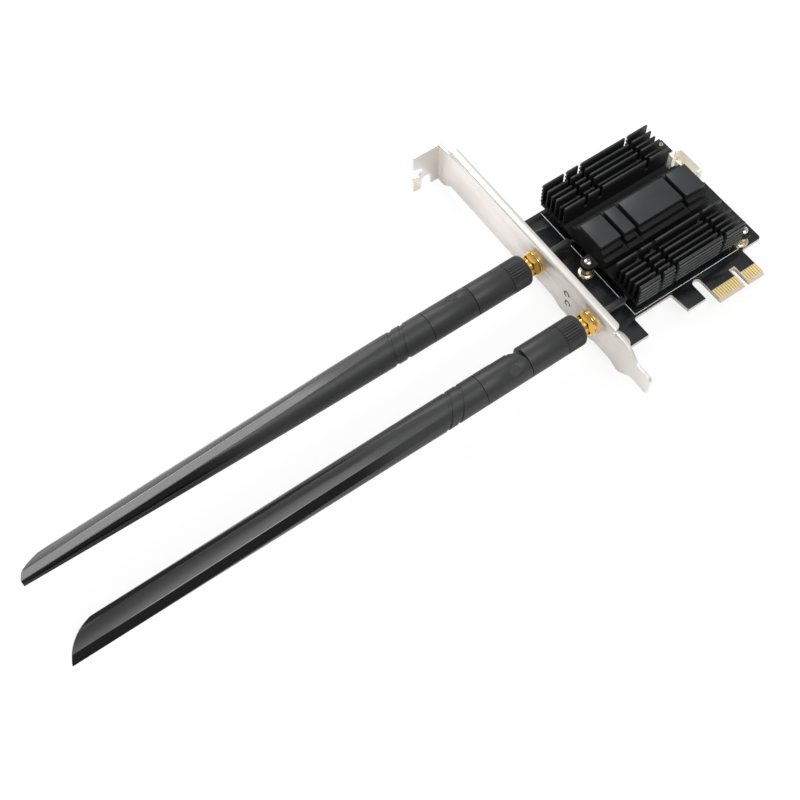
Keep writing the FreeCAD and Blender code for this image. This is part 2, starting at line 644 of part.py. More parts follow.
def sink_half():
    """One half of the heat sink's section, from its outer lower corner up to the middle block's top."""
    points = []
    outer = f"fin_first + {len(FIN_TOPS) - 1} * fin_pitch + fin_thick / 2"
    points.append((outer, "sink_under"))
    for index in range(len(FIN_TOPS) - 1, -1, -1):
        near = f"fin_first + {index} * fin_pitch - fin_thick / 2"
        far = f"fin_first + {index} * fin_pitch + fin_thick / 2"
        if index < len(FIN_TOPS) - 1:
            points.append((far, SINK_FLOOR))
        points += [(far, FIN_TOPS[index]), (near, FIN_TOPS[index]), (near, SINK_FLOOR)]
    points += [("block_half + 2 * block_step", SINK_FLOOR), ("block_half + 2 * block_step", "block_second"),
               ("block_half + block_step", "block_second"), ("block_half + block_step", "block_first"),
               ("block_half", "block_first"), ("block_half", "block_top")]
    return points


def heat_sink():
    """The finned heat sink: one extruded section, cut across three times, with two screw lugs."""
    body = new_body("sink")
    section = sketch_on(body, "sink_section", "YZ_Plane", "sink_left")
    half = sink_half()
    polygon(section, [(f"sink_y + {y}", z) for y, z in half] + [(f"sink_y - ({y})", z) for y, z in half[::-1]])
    pad(body, section, "sink_long")
    necks = sketch_on(body, "lug_necks", "XY_Plane", "sink_under")
    (left_x, left_y), (right_x, right_y) = LUGS.values()
    rectangle(necks, left_x, f"{left_y} - lug_radius", "sink_left + 0.5", f"{left_y} + lug_radius")
    rectangle(necks, f"{SINK_RIGHT} - 0.5", f"{right_y} - lug_radius + 0.7", right_x, f"{right_y} + lug_radius")
    pad(body, necks, "sink_plate")
    lugs = sketch_on(body, "lug_outline", "XY_Plane", "sink_under")
    for lug_x, lug_y in LUGS.values():
        ring(lugs, lug_x, lug_y, "lug_radius")
    pad(body, lugs, "sink_plate")
    edge = f"fin_first + {len(FIN_TOPS)} * fin_pitch"
    cuts = sketch_on(body, "cross_cuts", "XZ_Plane", f"-sink_y - ({edge})")
    for place in ("cut_one", "cut_two", "cut_three"):
        rectangle(cuts, f"sink_left + {place} - cut_wide / 2", "cut_floor", f"sink_left + {place} + cut_wide / 2",
                  "block_top + 5")
    pocket(body, cuts, f"2 * ({edge})", True)
    holes = sketch_on(body, "lug_holes", "XY_Plane", SINK_FLOOR)
    for lug_x, lug_y in LUGS.values():
        ring(holes, lug_x, lug_y, "sink_screw + 0.15")
    pocket(body, holes, "sink_plate")
    return node(body, "heat_sink")


def sink_fixings():
    """The heat sink's two screws and the two brass posts that they screw into."""
    screws, posts = [], []
    tall = "sink_under - board_thick / 2"
    for name, (x, y) in LUGS.items():
        screw = plain_screw(f"{name}_screw", "sink_screw", "sink_plate + sink_screw_reach", "sink_head",
                            "sink_head_tall")
        screws.append(put(screw, x, y, SINK_FLOOR))
        shaft = upright(f"{name}_post", "post_radius", tall, x, y, BOARD_FACE)
        bore = upright(f"{name}_bore", "sink_screw + seat", "sink_screw_reach + 0.2", x, y,
                       "sink_under - sink_screw_reach - 0.2")
        posts.append(less(f"{name}_turned", shaft, bore))
    node(group("heat_sink_screws", *screws), "heat_sink_screws")
    return node(group("heat_sink_posts", *posts), "heat_sink_posts")


MODULE_TOP = "module_under + module_thick"
MODULE_RIGHT = "module_left + module_long"
SHIELD_TOP = "module_under + module_thick + shield_tall"


def wireless_module():
    """The plug-in radio board with its half-round screw notch."""
    board = box("module_blank", "module_left", "module_y - module_wide / 2", "module_under", "module_long",
                "module_wide", "module_thick")
    notch = upright("module_notch_tool", "module_notch", "3", "module_left", "module_y", "module_under - 1")
    key = box("module_key_tool", f"{MODULE_RIGHT} - 3.5", "module_y - 6", "module_under - 1", "5", "1.2", "3")
    return node(less("module_board", board, notch, key), "wireless_module")


def module_shield():
    """The pressed steel can over the radio chips, open below."""
    long = "module_long - shield_start - shield_end"
    wide = "module_wide - 2 * shield_inset"
    x, y = "module_left + shield_start", "module_y - module_wide / 2 + shield_inset"
    outside = box("shield_outside", x, y, MODULE_TOP, long, wide, "shield_tall")
    inside = box("shield_inside", f"{x} + shield_wall", f"{y} + shield_wall", f"{MODULE_TOP} - 1",
                 f"{long} - 2 * shield_wall", f"{wide} - 2 * shield_wall", "shield_tall - shield_wall + 1")
    can = less("shield_can", outside, inside)
    return node(can, "module_shield")


def radio_chip():
    """The main chip under the can, which it touches through nothing but its own lid."""
    chip = box("chip_body", "module_left + module_long / 2 - 4", "module_y - 4", MODULE_TOP, "8", "8",
               "shield_tall - shield_wall - 0.1")
    return node(chip, "radio_chip")


def thermal_pad():
    """The soft pad squeezed between the can and the heat sink."""
    long = "module_long - shield_start - shield_end - 2 * pad_gap"
    wide = "module_wide - 2 * shield_inset - 2 * pad_gap"
    pad_solid = box("pad_body", "module_left + shield_start + pad_gap",
                    "module_y - module_wide / 2 + shield_inset + pad_gap", SHIELD_TOP, long, wide,
                    f"sink_under - ({SHIELD_TOP})")
    return node(pad_solid, "thermal_pad")


def module_socket():
    """The socket that takes the module's contact edge."""
    left = f"{MODULE_RIGHT} - socket_grip"
    shell = box("socket_shell", left, "module_y - socket_wide / 2", BOARD_FACE, "socket_long", "socket_wide",
                "socket_tall")
    slot = box("socket_slot", f"{left} - 1", "module_y - module_wide / 2 - socket_room",
               "module_under - socket_room", "socket_grip + socket_room + 1", "module_wide + 2 * socket_room",
               "module_thick + 2 * socket_room")
    key = box("socket_key", f"{left} + 0.2", "module_y - 5.85", "module_under - 0.5", "socket_grip", "0.9", "2")
    return node(joined("socket_whole", less("socket_cut", shell, slot), key), "module_socket")


def module_fixing():
    """The module's screw and the post under its free end."""
    post = upright("module_post_body", "module_post", "module_under - board_thick / 2", "module_left", "module_y",
                   BOARD_FACE)
    bore = upright("module_post_bore", "module_screw + seat", "1.8", "module_left", "module_y", "module_under - 1.8")
    node(less("module_post_turned", post, bore), "module_post")
    shaft = upright("module_screw_shaft", "module_screw", "1.7 + module_thick", "module_left", "module_y",
                    "module_under - 1.7")
    head = upright("module_screw_head", "module_head + 0.6", "module_head_tall", "module_left", "module_y", MODULE_TOP)
    return node(joined("module_screw_form", shaft, head), "module_screw")


def header_pin_y(index):
    """The place of one header pin along the header."""
    return f"header_y + ({index} - (pins - 1) / 2) * pin_pitch"


def pin_header():
    """The shrouded four-pin header at the board's right edge, with two guide slots in its left wall."""
    low_y = "header_y - header_long / 2"
    shell = box("header_shell", HEADER_LEFT, low_y, BOARD_FACE, "header_wide", "header_long", "header_tall")
    hollow = box("header_hollow", f"{HEADER_LEFT} + header_wall", f"{low_y} + header_wall",
                 f"{BOARD_FACE} + header_floor", "header_wide - 2 * header_wall", "header_long - 2 * header_wall",
                 "header_tall")
    guides = [box(f"header_guide_{index}", f"{HEADER_LEFT} - 1", f"header_y {place} - header_slot / 2",
                  f"{BOARD_FACE} + header_floor + 0.6", "header_wall + 2", "header_slot", "header_tall")
              for index, place in enumerate(("- header_long * 0.27", "+ header_long * 0.27"))]
    end_slots = [box(f"header_end_{index}", f"{HEADER_LEFT} + header_wide * 0.3", place, f"{BOARD_FACE} + 3.2",
                     "header_wide * 0.22", "header_wall + 2", "header_tall")
                 for index, place in enumerate((f"{low_y} - 1", f"{low_y} + header_long - header_wall - 1"))]
    holes, pins = [], []
    for index in range(int(number("pins"))):
        x, y = f"{HEADER_LEFT} + pin_x", header_pin_y(index)
        corner = (f"{x} - pin_wide / 2", f"{y} - pin_wide / 2")
        holes.append(box(f"header_hole_{index}", *corner, BOARD_FACE, "pin_wide", "pin_wide", "header_floor"))
        pins.append(box(f"header_pin_{index}", *corner, f"{BOARD_BACK} - pin_tail", "pin_wide", "pin_wide",
                        "board_thick + pin_tail + pin_top"))
    node(less("header_form", shell, hollow, *guides, *end_slots, *holes), "pin_header")
    return node(group("header_pins", *pins), "header_pins")


def chip_capacitors():
    """A row of small supply capacitors beside the module's socket."""
    chips = [box(f"chip_{index}", "chip_x", f"chip_y + {index} * chip_pitch", BOARD_FACE, "chip_wide", "chip_long",
                 "chip_tall") for index in range(int(number("chips")))]
    return node(group("chip_capacitors", *chips), "chip_capacitors")


def turned_part(name, profile):
    """A body turned about its X axis from a profile of (reach outwards, radius) points."""
    body = new_body(name)
    sketch = sketch_on(body, f"{name}_profile", "XY_Plane")
    polygon(sketch, [(f"-({reach})", radius) for reach, radius in profile])
    revolve(body, sketch)
    return body


def at_jack(thing, y):
    """Puts a part that was built on the X axis onto a jack's axis, with the bracket's face at its origin."""
    return put(thing, "bracket_face", y, "jack_z")


def jack(side, y):
    """The bulkhead jack: its threaded barrel and the hexagon that stops it behind the bracket."""
    body = turned_part(f"{side}_jack_body", [
        ("-sheet - jack_flange_thick", "0"), ("-sheet - jack_flange_thick", "thread_radius"),
        ("thread_long", "thread_radius"), ("thread_long", "0")])
    flange = sketch_on(body, f"{side}_jack_hex", "YZ_Plane", "sheet")
    hexagon(flange, "jack_flange_af")
    pad(body, flange, "jack_flange_thick")
    return node(at_jack(body, y), f"{side}_jack")


def hex_nut(side, y):
    """The hexagon nut that clamps the jack to the bracket."""
    body = new_body(f"{side}_nut_body")
    outline = sketch_on(body, f"{side}_nut_outline", "YZ_Plane", "-washer_thick - nut_thick")
    hexagon(outline, "nut_af")
    ring(outline, "0", "0", "thread_radius + seat")
    pad(body, outline, "nut_thick")
    return node(at_jack(body, y), f"{side}_hex_nut")


def lock_washer(side, y):
    """The lock washer between the nut and the bracket."""
    body = new_body(f"{side}_washer_body")
    outline = sketch_on(body, f"{side}_washer_outline", "YZ_Plane", "-washer_thick")
    ring(outline, "0", "0", "washer_radius")
    ring(outline, "0", "0", "thread_radius + seat")
    pad(body, outline, "washer_thick")
    return node(at_jack(body, y), f"{side}_lock_washer")


def rounded_path(points):
    """The points of a route whose corners are rounded with a few short chords."""
    way = [points[0]]
    for before, corner, after in zip(points, points[1:], points[2:]):
        run_in, run_out = corner - before, after - corner
        reach = 0.45 * min(run_in.Length, run_out.Length)
        turn = run_in.getAngle(run_out)
        into = FreeCAD.Vector(run_in).normalize()
        out_of = FreeCAD.Vector(run_out).normalize()
        middle_way = (out_of - into).normalize()
        radius = reach / math.tan(turn / 2)
        middle = corner + middle_way * (radius / math.cos(turn / 2) - radius)
        arc = Part.Arc(corner - into * reach, middle, corner + out_of * reach).toShape()
        way += arc.discretize(4)
    return way + [points[-1]]


def lead(side, y, plug_y):
    """The thin coaxial lead from the jack's shrink sleeve to its plug on the module."""
    plug_x = number("module_left + plug_inset_x")
    sleeve_x, exit_z = number("bracket_face + sleeve_end"), number("jack_z - lead_drop")
    low = number(f"{MODULE_TOP} + plug_tall / 2")
    start, end = number(y), number(plug_y)
    route = [FreeCAD.Vector(sleeve_x, start, exit_z),
             FreeCAD.Vector(sleeve_x + 1.95, start, exit_z),
             FreeCAD.Vector(plug_x - number("plug_radius") - 2.1, end, low),
             FreeCAD.Vector(plug_x - number("plug_radius"), end, low)]
    path = Part.makePolygon(rounded_path(route))
    radius = number("lead_radius")
    turns = [math.tau * (index + 0.5) / 8 for index in range(8)]
    rim = [route[0] + FreeCAD.Vector(0, radius * math.cos(turn), radius * math.sin(turn)) for turn in turns]
    tube = Part.Wire(path).makePipeShell([Part.makePolygon(rim + rim[:1])], True, False, 1)
    expected = 4 * radius * radius * math.sin(math.tau / 8) * path.Length
    print(f"{side} lead: length {path.Length:.2f}, volume {tube.Volume:.3f} against {expected:.3f}")
    if abs(tube.Volume - expected) > 0.02 * expected:
        raise RuntimeError(f"{side} lead has the wrong volume")
    solid = doc.addObject("Part::Feature", f"{side}_lead_tube")
    solid.Shape = tube
    node(solid, f"{side}_lead")
    tail = "sheet + jack_flange_thick"
    sleeve = outward(f"{side}_sleeve_tube", "sleeve_radius", "-sleeve_end", f"sleeve_end - ({tail})")
    node(at_jack(group(f"{side}_sleeve_whole", sleeve), y), f"{side}_shrink_sleeve")
    plug = upright(f"{side}_plug_cap", "plug_radius", "plug_tall", "module_left + plug_inset_x", plug_y, MODULE_TOP)
    return node(plug, f"{side}_coax_plug")


COLLAR_END = "collar_front + collar_long"
BARREL_START = "collar_front + collar_long + seam"
BARREL_END = "collar_front + collar_long + seam + barrel_long"
KNUCKLE_END = f"{BARREL_END} + hinge_gap + knuckle_long"
BLADE_START = KNUCKLE_END
BLADE_END = f"{BLADE_START} + blade_long"
PIN_AT = f"{BARREL_END} + hinge_back"


def on_antenna(thing, y, roll):
    """Puts an antenna part onto its jack and turns it about the jack's axis."""
    thing.Placement = FreeCAD.Placement(FreeCAD.Vector(), FreeCAD.Rotation(AXES["x"], number(roll)))
    return at_jack(thing, y)


def collar(side, y, roll):
    """The round collar that screws onto the jack, with the lip that holds the swivel barrel."""
    lip = f"{COLLAR_END} - 0.9"
    body = turned_part(f"{side}_collar_body", [
        ("collar_front", "thread_radius + running"), ("collar_front", "antenna_radius - collar_chamfer * 0.5"),
        ("collar_front + collar_chamfer", "antenna_radius"), (COLLAR_END, "antenna_radius"),
        (COLLAR_END, "core_lip"), (lip, "core_lip"), (lip, "thread_radius + running")])
    return node(on_antenna(body, y, roll), f"{side}_collar")


def barrel(side, y, roll):
    """The swivel barrel: the flanged core that the collar holds, the round body and the hinge's tongue."""
    lip = f"{COLLAR_END} - 0.9"
    shell = turned_part(f"{side}_barrel_shell", [
        ("thread_long + 0.1", "0"), ("thread_long + 0.1", "thread_radius - 0.2"),
        (f"{lip} - 0.05", "thread_radius - 0.2"), (f"{lip} - 0.05", "core_lip - running"),
        (BARREL_START, "core_lip - running"), (BARREL_START, "antenna_radius"),
        (BARREL_END, "antenna_radius"), (BARREL_END, "0")])
    root = box(f"{side}_tongue_root", f"-({PIN_AT})", "-hinge_tongue_end", "-hinge_tongue / 2",
               "hinge_back + 0.5", "2 * hinge_tongue_end", "hinge_tongue")
    end = upright(f"{side}_tongue_end", "hinge_tongue_end", "hinge_tongue", f"-({PIN_AT})", "0",
                  "-hinge_tongue / 2")
    bore = upright(f"{side}_tongue_bore", "hinge_pin + running", "hinge_tongue + 2", f"-({PIN_AT})", "0",
                   "-hinge_tongue / 2 - 1")
    whole = less(f"{side}_barrel_whole", joined(f"{side}_barrel_form", shell, root, end), bore)
    return node(on_antenna(whole, y, roll), f"{side}_barrel")


def knuckle(side, y, roll):
    """The hinge knuckle, its slot for the barrel's tongue, its rounded corner and the hinge pin."""
    start = f"{BARREL_END} + hinge_gap"
    bar = outward(f"{side}_knuckle_bar", "antenna_radius", start, "knuckle_long")
    slot = box(f"{side}_knuckle_slot", f"-({PIN_AT}) - hinge_tongue_end - hinge_gap", "-hinge_tongue_end - hinge_gap",
               "-hinge_tongue / 2 - hinge_side", "20", "20", "hinge_tongue + 2 * hinge_side")
    corner = box(f"{side}_corner_block", f"-({PIN_AT})", "0", "-10", "10", "10", "20")
    nose = upright(f"{side}_corner_nose", "hinge_nose", "24", f"-({PIN_AT})", "0", "-12")
    corner_tool = less(f"{side}_corner_tool", corner, nose)
    bore = upright(f"{side}_knuckle_bore", "hinge_pin + seat", "hinge_pin_long + 2", f"-({PIN_AT})", "0",
                   "-hinge_pin_long / 2 - 1")
    whole = less(f"{side}_knuckle_whole", bar, slot, corner_tool, bore)
    node(on_antenna(whole, y, roll), f"{side}_knuckle")
    pin = upright(f"{side}_pin_body", "hinge_pin", "hinge_pin_long", f"-({PIN_AT})", "0", "-hinge_pin_long / 2")
    held = group(f"{side}_pin_whole", pin)
    return node(on_antenna(held, y, roll), f"{side}_hinge_pin")


def facet_cutters(side):
    """Six boxes whose faces plane the blade's facets, each leaning in towards the tip."""
    base, run = number(f"{BLADE_START} + blade_straight"), number("blade_long - blade_straight")
    radius = number("antenna_radius")
    cutters = []
    for name in ("edge", "ridge", "spine"):
        tip = number(f"{name}_facet_tip")
        for hand in (1, -1):
            turn = math.radians(number(f"{name}_facet_turn"))
            normal = FreeCAD.Vector(-(radius - tip) / run, math.cos(turn), hand * math.sin(turn))
            on_plane = FreeCAD.Vector(-base, 0, 0) + normal * (radius / normal.Length ** 2)
            rotation = FreeCAD.Rotation(AXES["z"], normal)
            cutter = doc.addObject("Part::Box", f"{side}_{name}_facet_{len(cutters)}")
            bind(cutter, Length="blade_long * 3", Width="40", Height="20")
            corner = rotation.multVec(FreeCAD.Vector(number("blade_long * 1.5"), 20, 0))
            cutter.Placement = FreeCAD.Placement(on_plane - corner, rotation)
            cutters.append(cutter)
    return cutters


def blade(side, y, roll):
    """The antenna's long blade: a tapering round bar planed down to ridged facets, with a slanted tip."""
    straight = outward(f"{side}_blade_straight", "antenna_radius", BLADE_START, "blade_straight")
    ends = []
    for radius, place in (("antenna_radius", f"{BLADE_START} + blade_straight"), ("blade_tip_radius", BLADE_END)):
        end = doc.addObject("Part::RegularPolygon", f"{side}_blade_end_{len(ends)}")
        end.Polygon = 28
        bind(end, Circumradius=radius)
        ends.append(put(turned(end, "y", -90), f"-({place})"))
    taper = doc.addObject("Part::Loft", f"{side}_blade_taper")
    taper.Sections = ends
    taper.Solid = True
    taper.Ruled = True
    planed = less(f"{side}_blade_planed", taper, *facet_cutters(side))
    keep_round = upright(f"{side}_tip_round", "tip_curve", "30", f"-({BLADE_END}) + tip_curve_back", "-tip_curve_off", "-15")
    keep_long = box(f"{side}_tip_long", f"-({BLADE_END}) + tip_slope", "-15", "-15", "blade_long", "30", "30")
    kept = shared(f"{side}_blade_kept", joined(f"{side}_blade_bar", straight, planed),
                  joined(f"{side}_tip_keep", keep_round, keep_long))
    return node(on_antenna(kept, y, roll), f"{side}_blade")


SIDES = (("upper", "upper_jack_y", "upper_roll", "module_y + module_wide / 2 - plug_inset_y"),
         ("lower", "(upper_jack_y - jack_spacing)", "lower_roll", "module_y - module_wide / 2 + plug_inset_y"))


def check(thing):
    """Stops if an object failed or its shape isn't sound."""
    state = [word for word in thing.State if word in ("Invalid", "Error")]
    if state:
        raise RuntimeError(f"{thing.Name} ({thing.Label}) is in state {state}")


def main():
    """Builds every sub-part, checks it and writes its file."""
    circuit_board()
    edge_contacts("edge_contacts_front", BOARD_FACE)
    edge_contacts("edge_contacts_back", "-board_thick / 2 - contact_thick")
    bracket()
    ear_screws()
    heat_sink()
    sink_fixings()
    wireless_module()
    module_shield()
    radio_chip()
    thermal_pad()
    module_socket()
    module_fixing()
    pin_header()
    chip_capacitors()
    for side, y, roll, plug_y in SIDES:
        jack(side, y)
        lock_washer(side, y)
        hex_nut(side, y)
        lead(side, y, plug_y)
        collar(side, y, roll)
        barrel(side, y, roll)
        knuckle(side, y, roll)
        blade(side, y, roll)
    doc.recompute()
    for thing in doc.Objects:
        check(thing)
    os.makedirs("parts", exist_ok=True)
    for thing in nodes:
        shape = thing.Shape
        if shape.isNull() or not shape.isValid():
            raise RuntimeError(f"{thing.Label} has no valid shape")
        shape.exportStep(f"parts/{thing.Label}.step")
        print(f"{thing.Label}: {len(shape.Solids)} solids, {shape.Volume:.2f} mm3")


main()
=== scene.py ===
"""Dressed scene of a wireless expansion card: finned heat sink, bracket, gold jacks and two folding antennas.

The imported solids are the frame. Eased copies of them carry small bevels and finishes, and the pieces that are
too fine for the solids, such as screw threads and printed lines, are modelled here. Lengths are metres, but
for the profiles and tables that say millimetres.
"""
import json
import logging
import math
from dataclasses import dataclass
from enum import Enum
from typing import Callable, Optional, Union

import bpy
from mathutils import Matrix, Vector


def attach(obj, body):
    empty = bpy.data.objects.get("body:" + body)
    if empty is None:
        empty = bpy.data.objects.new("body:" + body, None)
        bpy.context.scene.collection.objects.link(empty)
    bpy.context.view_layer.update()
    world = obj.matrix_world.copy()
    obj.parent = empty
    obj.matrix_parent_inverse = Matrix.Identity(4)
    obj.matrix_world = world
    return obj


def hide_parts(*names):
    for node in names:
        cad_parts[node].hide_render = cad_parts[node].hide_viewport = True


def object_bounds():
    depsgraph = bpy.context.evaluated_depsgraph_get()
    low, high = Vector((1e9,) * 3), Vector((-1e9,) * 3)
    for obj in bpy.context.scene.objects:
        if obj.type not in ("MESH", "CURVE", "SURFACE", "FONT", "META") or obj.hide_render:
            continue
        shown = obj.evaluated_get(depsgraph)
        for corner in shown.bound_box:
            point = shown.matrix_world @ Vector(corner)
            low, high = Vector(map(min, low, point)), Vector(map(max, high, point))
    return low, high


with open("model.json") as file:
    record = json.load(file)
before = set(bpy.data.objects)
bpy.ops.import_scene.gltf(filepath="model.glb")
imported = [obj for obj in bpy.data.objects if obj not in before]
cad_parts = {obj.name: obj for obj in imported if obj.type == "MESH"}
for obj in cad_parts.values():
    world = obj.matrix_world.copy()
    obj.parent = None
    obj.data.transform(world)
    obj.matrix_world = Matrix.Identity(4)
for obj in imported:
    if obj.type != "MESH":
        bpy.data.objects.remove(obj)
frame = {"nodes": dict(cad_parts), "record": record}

logging.basicConfig(level=logging.INFO, format="%(message)s")
LOG = logging.getLogger("wireless_card")

MM = 0.001
CAD_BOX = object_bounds()
BODIES = {node: body for body, nodes in frame["record"]["behaviour"]["bodies"].items() for node in nodes}

Number = Union[int, float]
Piece = bpy.types.Object
Material = bpy.types.Material
Socket = bpy.types.NodeSocket
Paint = Union[tuple, Socket]


class Side(Enum):
    """The two antennas, by their jack."""

    UPPER = "upper"
    LOWER = "lower"


JACK_Y = {Side.UPPER: 48.17 * MM, Side.LOWER: 18.17 * MM}
ROLL = {Side.UPPER: -28.0, Side.LOWER: 29.0}
JACK_Z = 5.2 * MM
BRACKET_X = -57.15 * MM
BOARD_TOP = 0.8 * MM


class Kind(Enum):
    """Shader node types that the finishes use."""

    MATHS = "ShaderNodeMath"
    VECTOR = "ShaderNodeVectorMath"
    MIX = "ShaderNodeMix"
    NOISE = "ShaderNodeTexNoise"
    CELLS = "ShaderNodeTexVoronoi"
    COORDINATES = "ShaderNodeTexCoord"
    MAPPING = "ShaderNodeMapping"
    SPLIT = "ShaderNodeSeparateXYZ"
    RANGE = "ShaderNodeMapRange"
    BUMP = "ShaderNodeBump"
    SURFACE = "ShaderNodeBsdfPrincipled"
    OUTPUT = "ShaderNodeOutputMaterial"
    GLOW = "ShaderNodeEmission"
    DIFFUSE = "ShaderNodeBsdfDiffuse"
    BLEND = "ShaderNodeMixShader"
    RAY = "ShaderNodeLightPath"
    BACKGROUND = "ShaderNodeBackground"
    SKY_OUTPUT = "ShaderNodeOutputWorld"


class Modifier(Enum):
    """The modifiers that finish pieces."""

    BEVEL = "BEVEL"
    BOOLEAN = "BOOLEAN"
    SCREW = "SCREW"
    SOLIDIFY = "SOLIDIFY"
    SUBDIVIDE = "SUBSURF"


class Pick(Enum):
    """What is selected in edit mode: its corners, its edges or its faces."""

    CORNERS = (True, False, False)
    EDGES = (False, True, False)
    FACES = (False, False, True)


class Reading:
    """One number that a shader graph works out, usable in Python sums."""

    def __init__(self, graph: "Graph", socket: Socket) -> None:
        """Wraps an output socket of the graph."""
        self.graph = graph
        self.socket = socket

    def _sum(self, operation: str, first: "Operand", second: "Operand") -> "Reading":
        """The result of a new Math node with this operation and these two values."""
        made = self.graph.add(Kind.MATHS, {"operation": operation}, {0: first, 1: second})
        return self.graph.read(made)

    def __add__(self, other: "Operand") -> "Reading":
        """self + other."""
        return self._sum("ADD", self, other)

    def __sub__(self, other: "Operand") -> "Reading":
        """self - other."""
        return self._sum("SUBTRACT", self, other)

    def __rsub__(self, other: "Operand") -> "Reading":
        """other - self."""
        return self._sum("SUBTRACT", other, self)

    def __mul__(self, other: "Operand") -> "Reading":
        """self times other."""
        return self._sum("MULTIPLY", self, other)

    def __lt__(self, other: "Operand") -> "Reading":
        """1 where self is under other."""
        return self._sum("LESS_THAN", self, other)

    def __gt__(self, other: "Operand") -> "Reading":
        """1 where self is over other."""
        return self._sum("GREATER_THAN", self, other)

    def __abs__(self) -> "Reading":
        """The size of self."""
        return self._sum("ABSOLUTE", self, 0.0)

    def root(self) -> "Reading":
        """The square root of self."""
        return self._sum("SQRT", self, 0.0)

    def at_most(self, limit: "Operand") -> "Reading":
        """self, or the limit where that is less."""
        return self._sum("MINIMUM", self, limit)

    def at_least(self, limit: "Operand") -> "Reading":
        """self, or the limit where that is more."""
        return self._sum("MAXIMUM", self, limit)

    def ramped(self, low: Number, high: Number, start: Number = 0.0, end: Number = 1.0) -> "Reading":
        """A smooth step.

        Args:
            low: Where the step starts.
            high: Where it ends.
            start: The result before the step.
            end: The result after it.

        Returns:
            The stepped reading.
        """
        made = self.graph.add(Kind.RANGE, {"interpolation_type": "SMOOTHSTEP", "clamp": True}, {
            "Value": self, "From Min": low, "From Max": high, "To Min": start, "To Max": end})
        return self.graph.read(made)


Operand = Union[Reading, int, float]


class Graph:
    """A shader graph with one method that adds any node."""

    def __init__(self, tree: bpy.types.NodeTree) -> None:
        """Empties the tree and starts afresh."""
        self.tree = tree
        tree.nodes.clear()

    def add(self, kind: Kind, settings: Optional[dict] = None,
            inputs: Optional[dict] = None) -> bpy.types.Node:
        """Adds a node.

        Args:
            kind: The node's type.
            settings: Its own settings, set first.
            inputs: Values or links for its sockets, by name or number.

        Returns:
            The new node.
        """
        node = self.tree.nodes.new(kind.value)
        for name, value in (settings or {}).items():
            setattr(node, name, value)
        for name, value in (inputs or {}).items():
            if isinstance(value, (Reading, Socket)):
                source = value.socket if isinstance(value, Reading) else value
                self.tree.links.new(source, node.inputs[name])
            else:
                node.inputs[name].default_value = value
        return node

    def read(self, node: bpy.types.Node, name: Union[str, int] = 0) -> Reading:
        """One output of a node as a reading."""
        return Reading(self, node.outputs[name])

    def place(self) -> Socket:
        """The point on the piece in the card's own frame."""
        return self.add(Kind.COORDINATES).outputs["Object"]

    def axes(self) -> tuple:
        """The point's three coordinates as readings."""
        split = self.add(Kind.SPLIT, inputs={0: self.place()})
        return tuple(self.read(split, index) for index in range(3))

    def speckle(self, scale: Number, detail: Number = 2.0, stretch: tuple = (1.0, 1.0, 1.0)) -> Reading:
        """Noise over the piece.

        Args:
            scale: Cells per metre.
            detail: Finer layers.
            stretch: Scale along each axis.

        Returns:
            The noise, from 0 to 1.
        """
        spread = self.add(Kind.MAPPING, inputs={"Vector": self.place(), "Scale": stretch})
        noise = self.add(Kind.NOISE, inputs={"Vector": spread.outputs[0], "Scale": scale, "Detail": detail})
        return self.read(noise)

    def mixed(self, share: Operand, first: Paint, second: Paint) -> Socket:
        """Two colours, or the sockets that give them, mixed by the second one's share."""
        made = self.add(Kind.MIX, {"data_type": "RGBA"}, {0: share, 6: first, 7: second})
        return made.outputs[2]

    def relief(self, height: Reading, depth: Number, strength: Number = 1.0) -> Socket:
        """The normal of a bump whose height from 0 to 1 is a depth in metres."""
        bump = self.add(Kind.BUMP, inputs={"Height": height, "Distance": depth, "Strength": strength})
        return bump.outputs[0]

    def finish(self, **sockets: object) -> None:
        """Adds the surface and the output.

        Args:
            sockets: Values or links of the surface, with underscores for spaces.
        """
        inputs = {name.replace("_", " "): value for name, value in sockets.items()}
        surface = self.add(Kind.SURFACE, inputs=inputs)
        self.add(Kind.OUTPUT, inputs={"Surface": surface.outputs[0]})


def colour(red: Number, green: Number, blue: Number) -> tuple:
    """A colour with full cover."""
    return (red, green, blue, 1.0)


def scaled(tint: tuple, share: float) -> tuple:
    """A colour made lighter or darker, with full cover."""
    return colour(*(min(1.0, part * share) for part in tint[:3]))


@dataclass(frozen=True)
class Finish:
    """What every finish has: a name, and a method that paints its shader."""

    name: str

    def paint(self, graph: Graph) -> None:
        """Builds the shader in an empty graph."""
        raise NotImplementedError

    def material(self) -> Material:
        """Makes the material.

        Returns:
            The painted material.
        """
        material = bpy.data.materials.new(self.name)
        material.use_nodes = True
        self.paint(Graph(material.node_tree))
        return material


@dataclass(frozen=True)
class PlainFinish(Finish):
    """A finish with one colour, faint mottling and a fine grain."""

    tint: tuple
    roughness: float
    metallic: float = 0.0
    mottle: float = 0.12
    grain: float = 2600.0
    grain_depth: float = 0.00001
    grain_strength: float = 0.4
    rough_spread: float = 0.08
    cloud_scale: float = 180.0

    def paint(self, graph: Graph) -> None:
        """Builds the shader.

        Args:
            graph: The empty graph.
        """
        cloud = graph.speckle(self.cloud_scale)
        fine = graph.speckle(self.grain)
        dark, light = scaled(self.tint, 1.0 - self.mottle), scaled(self.tint, 1.0 + self.mottle)
        graph.finish(Base_Color=graph.mixed(cloud, dark, light), Metallic=self.metallic,
                     Roughness=cloud * self.rough_spread + (self.roughness - self.rough_spread / 2),
                     Normal=graph.relief(fine, self.grain_depth, self.grain_strength))


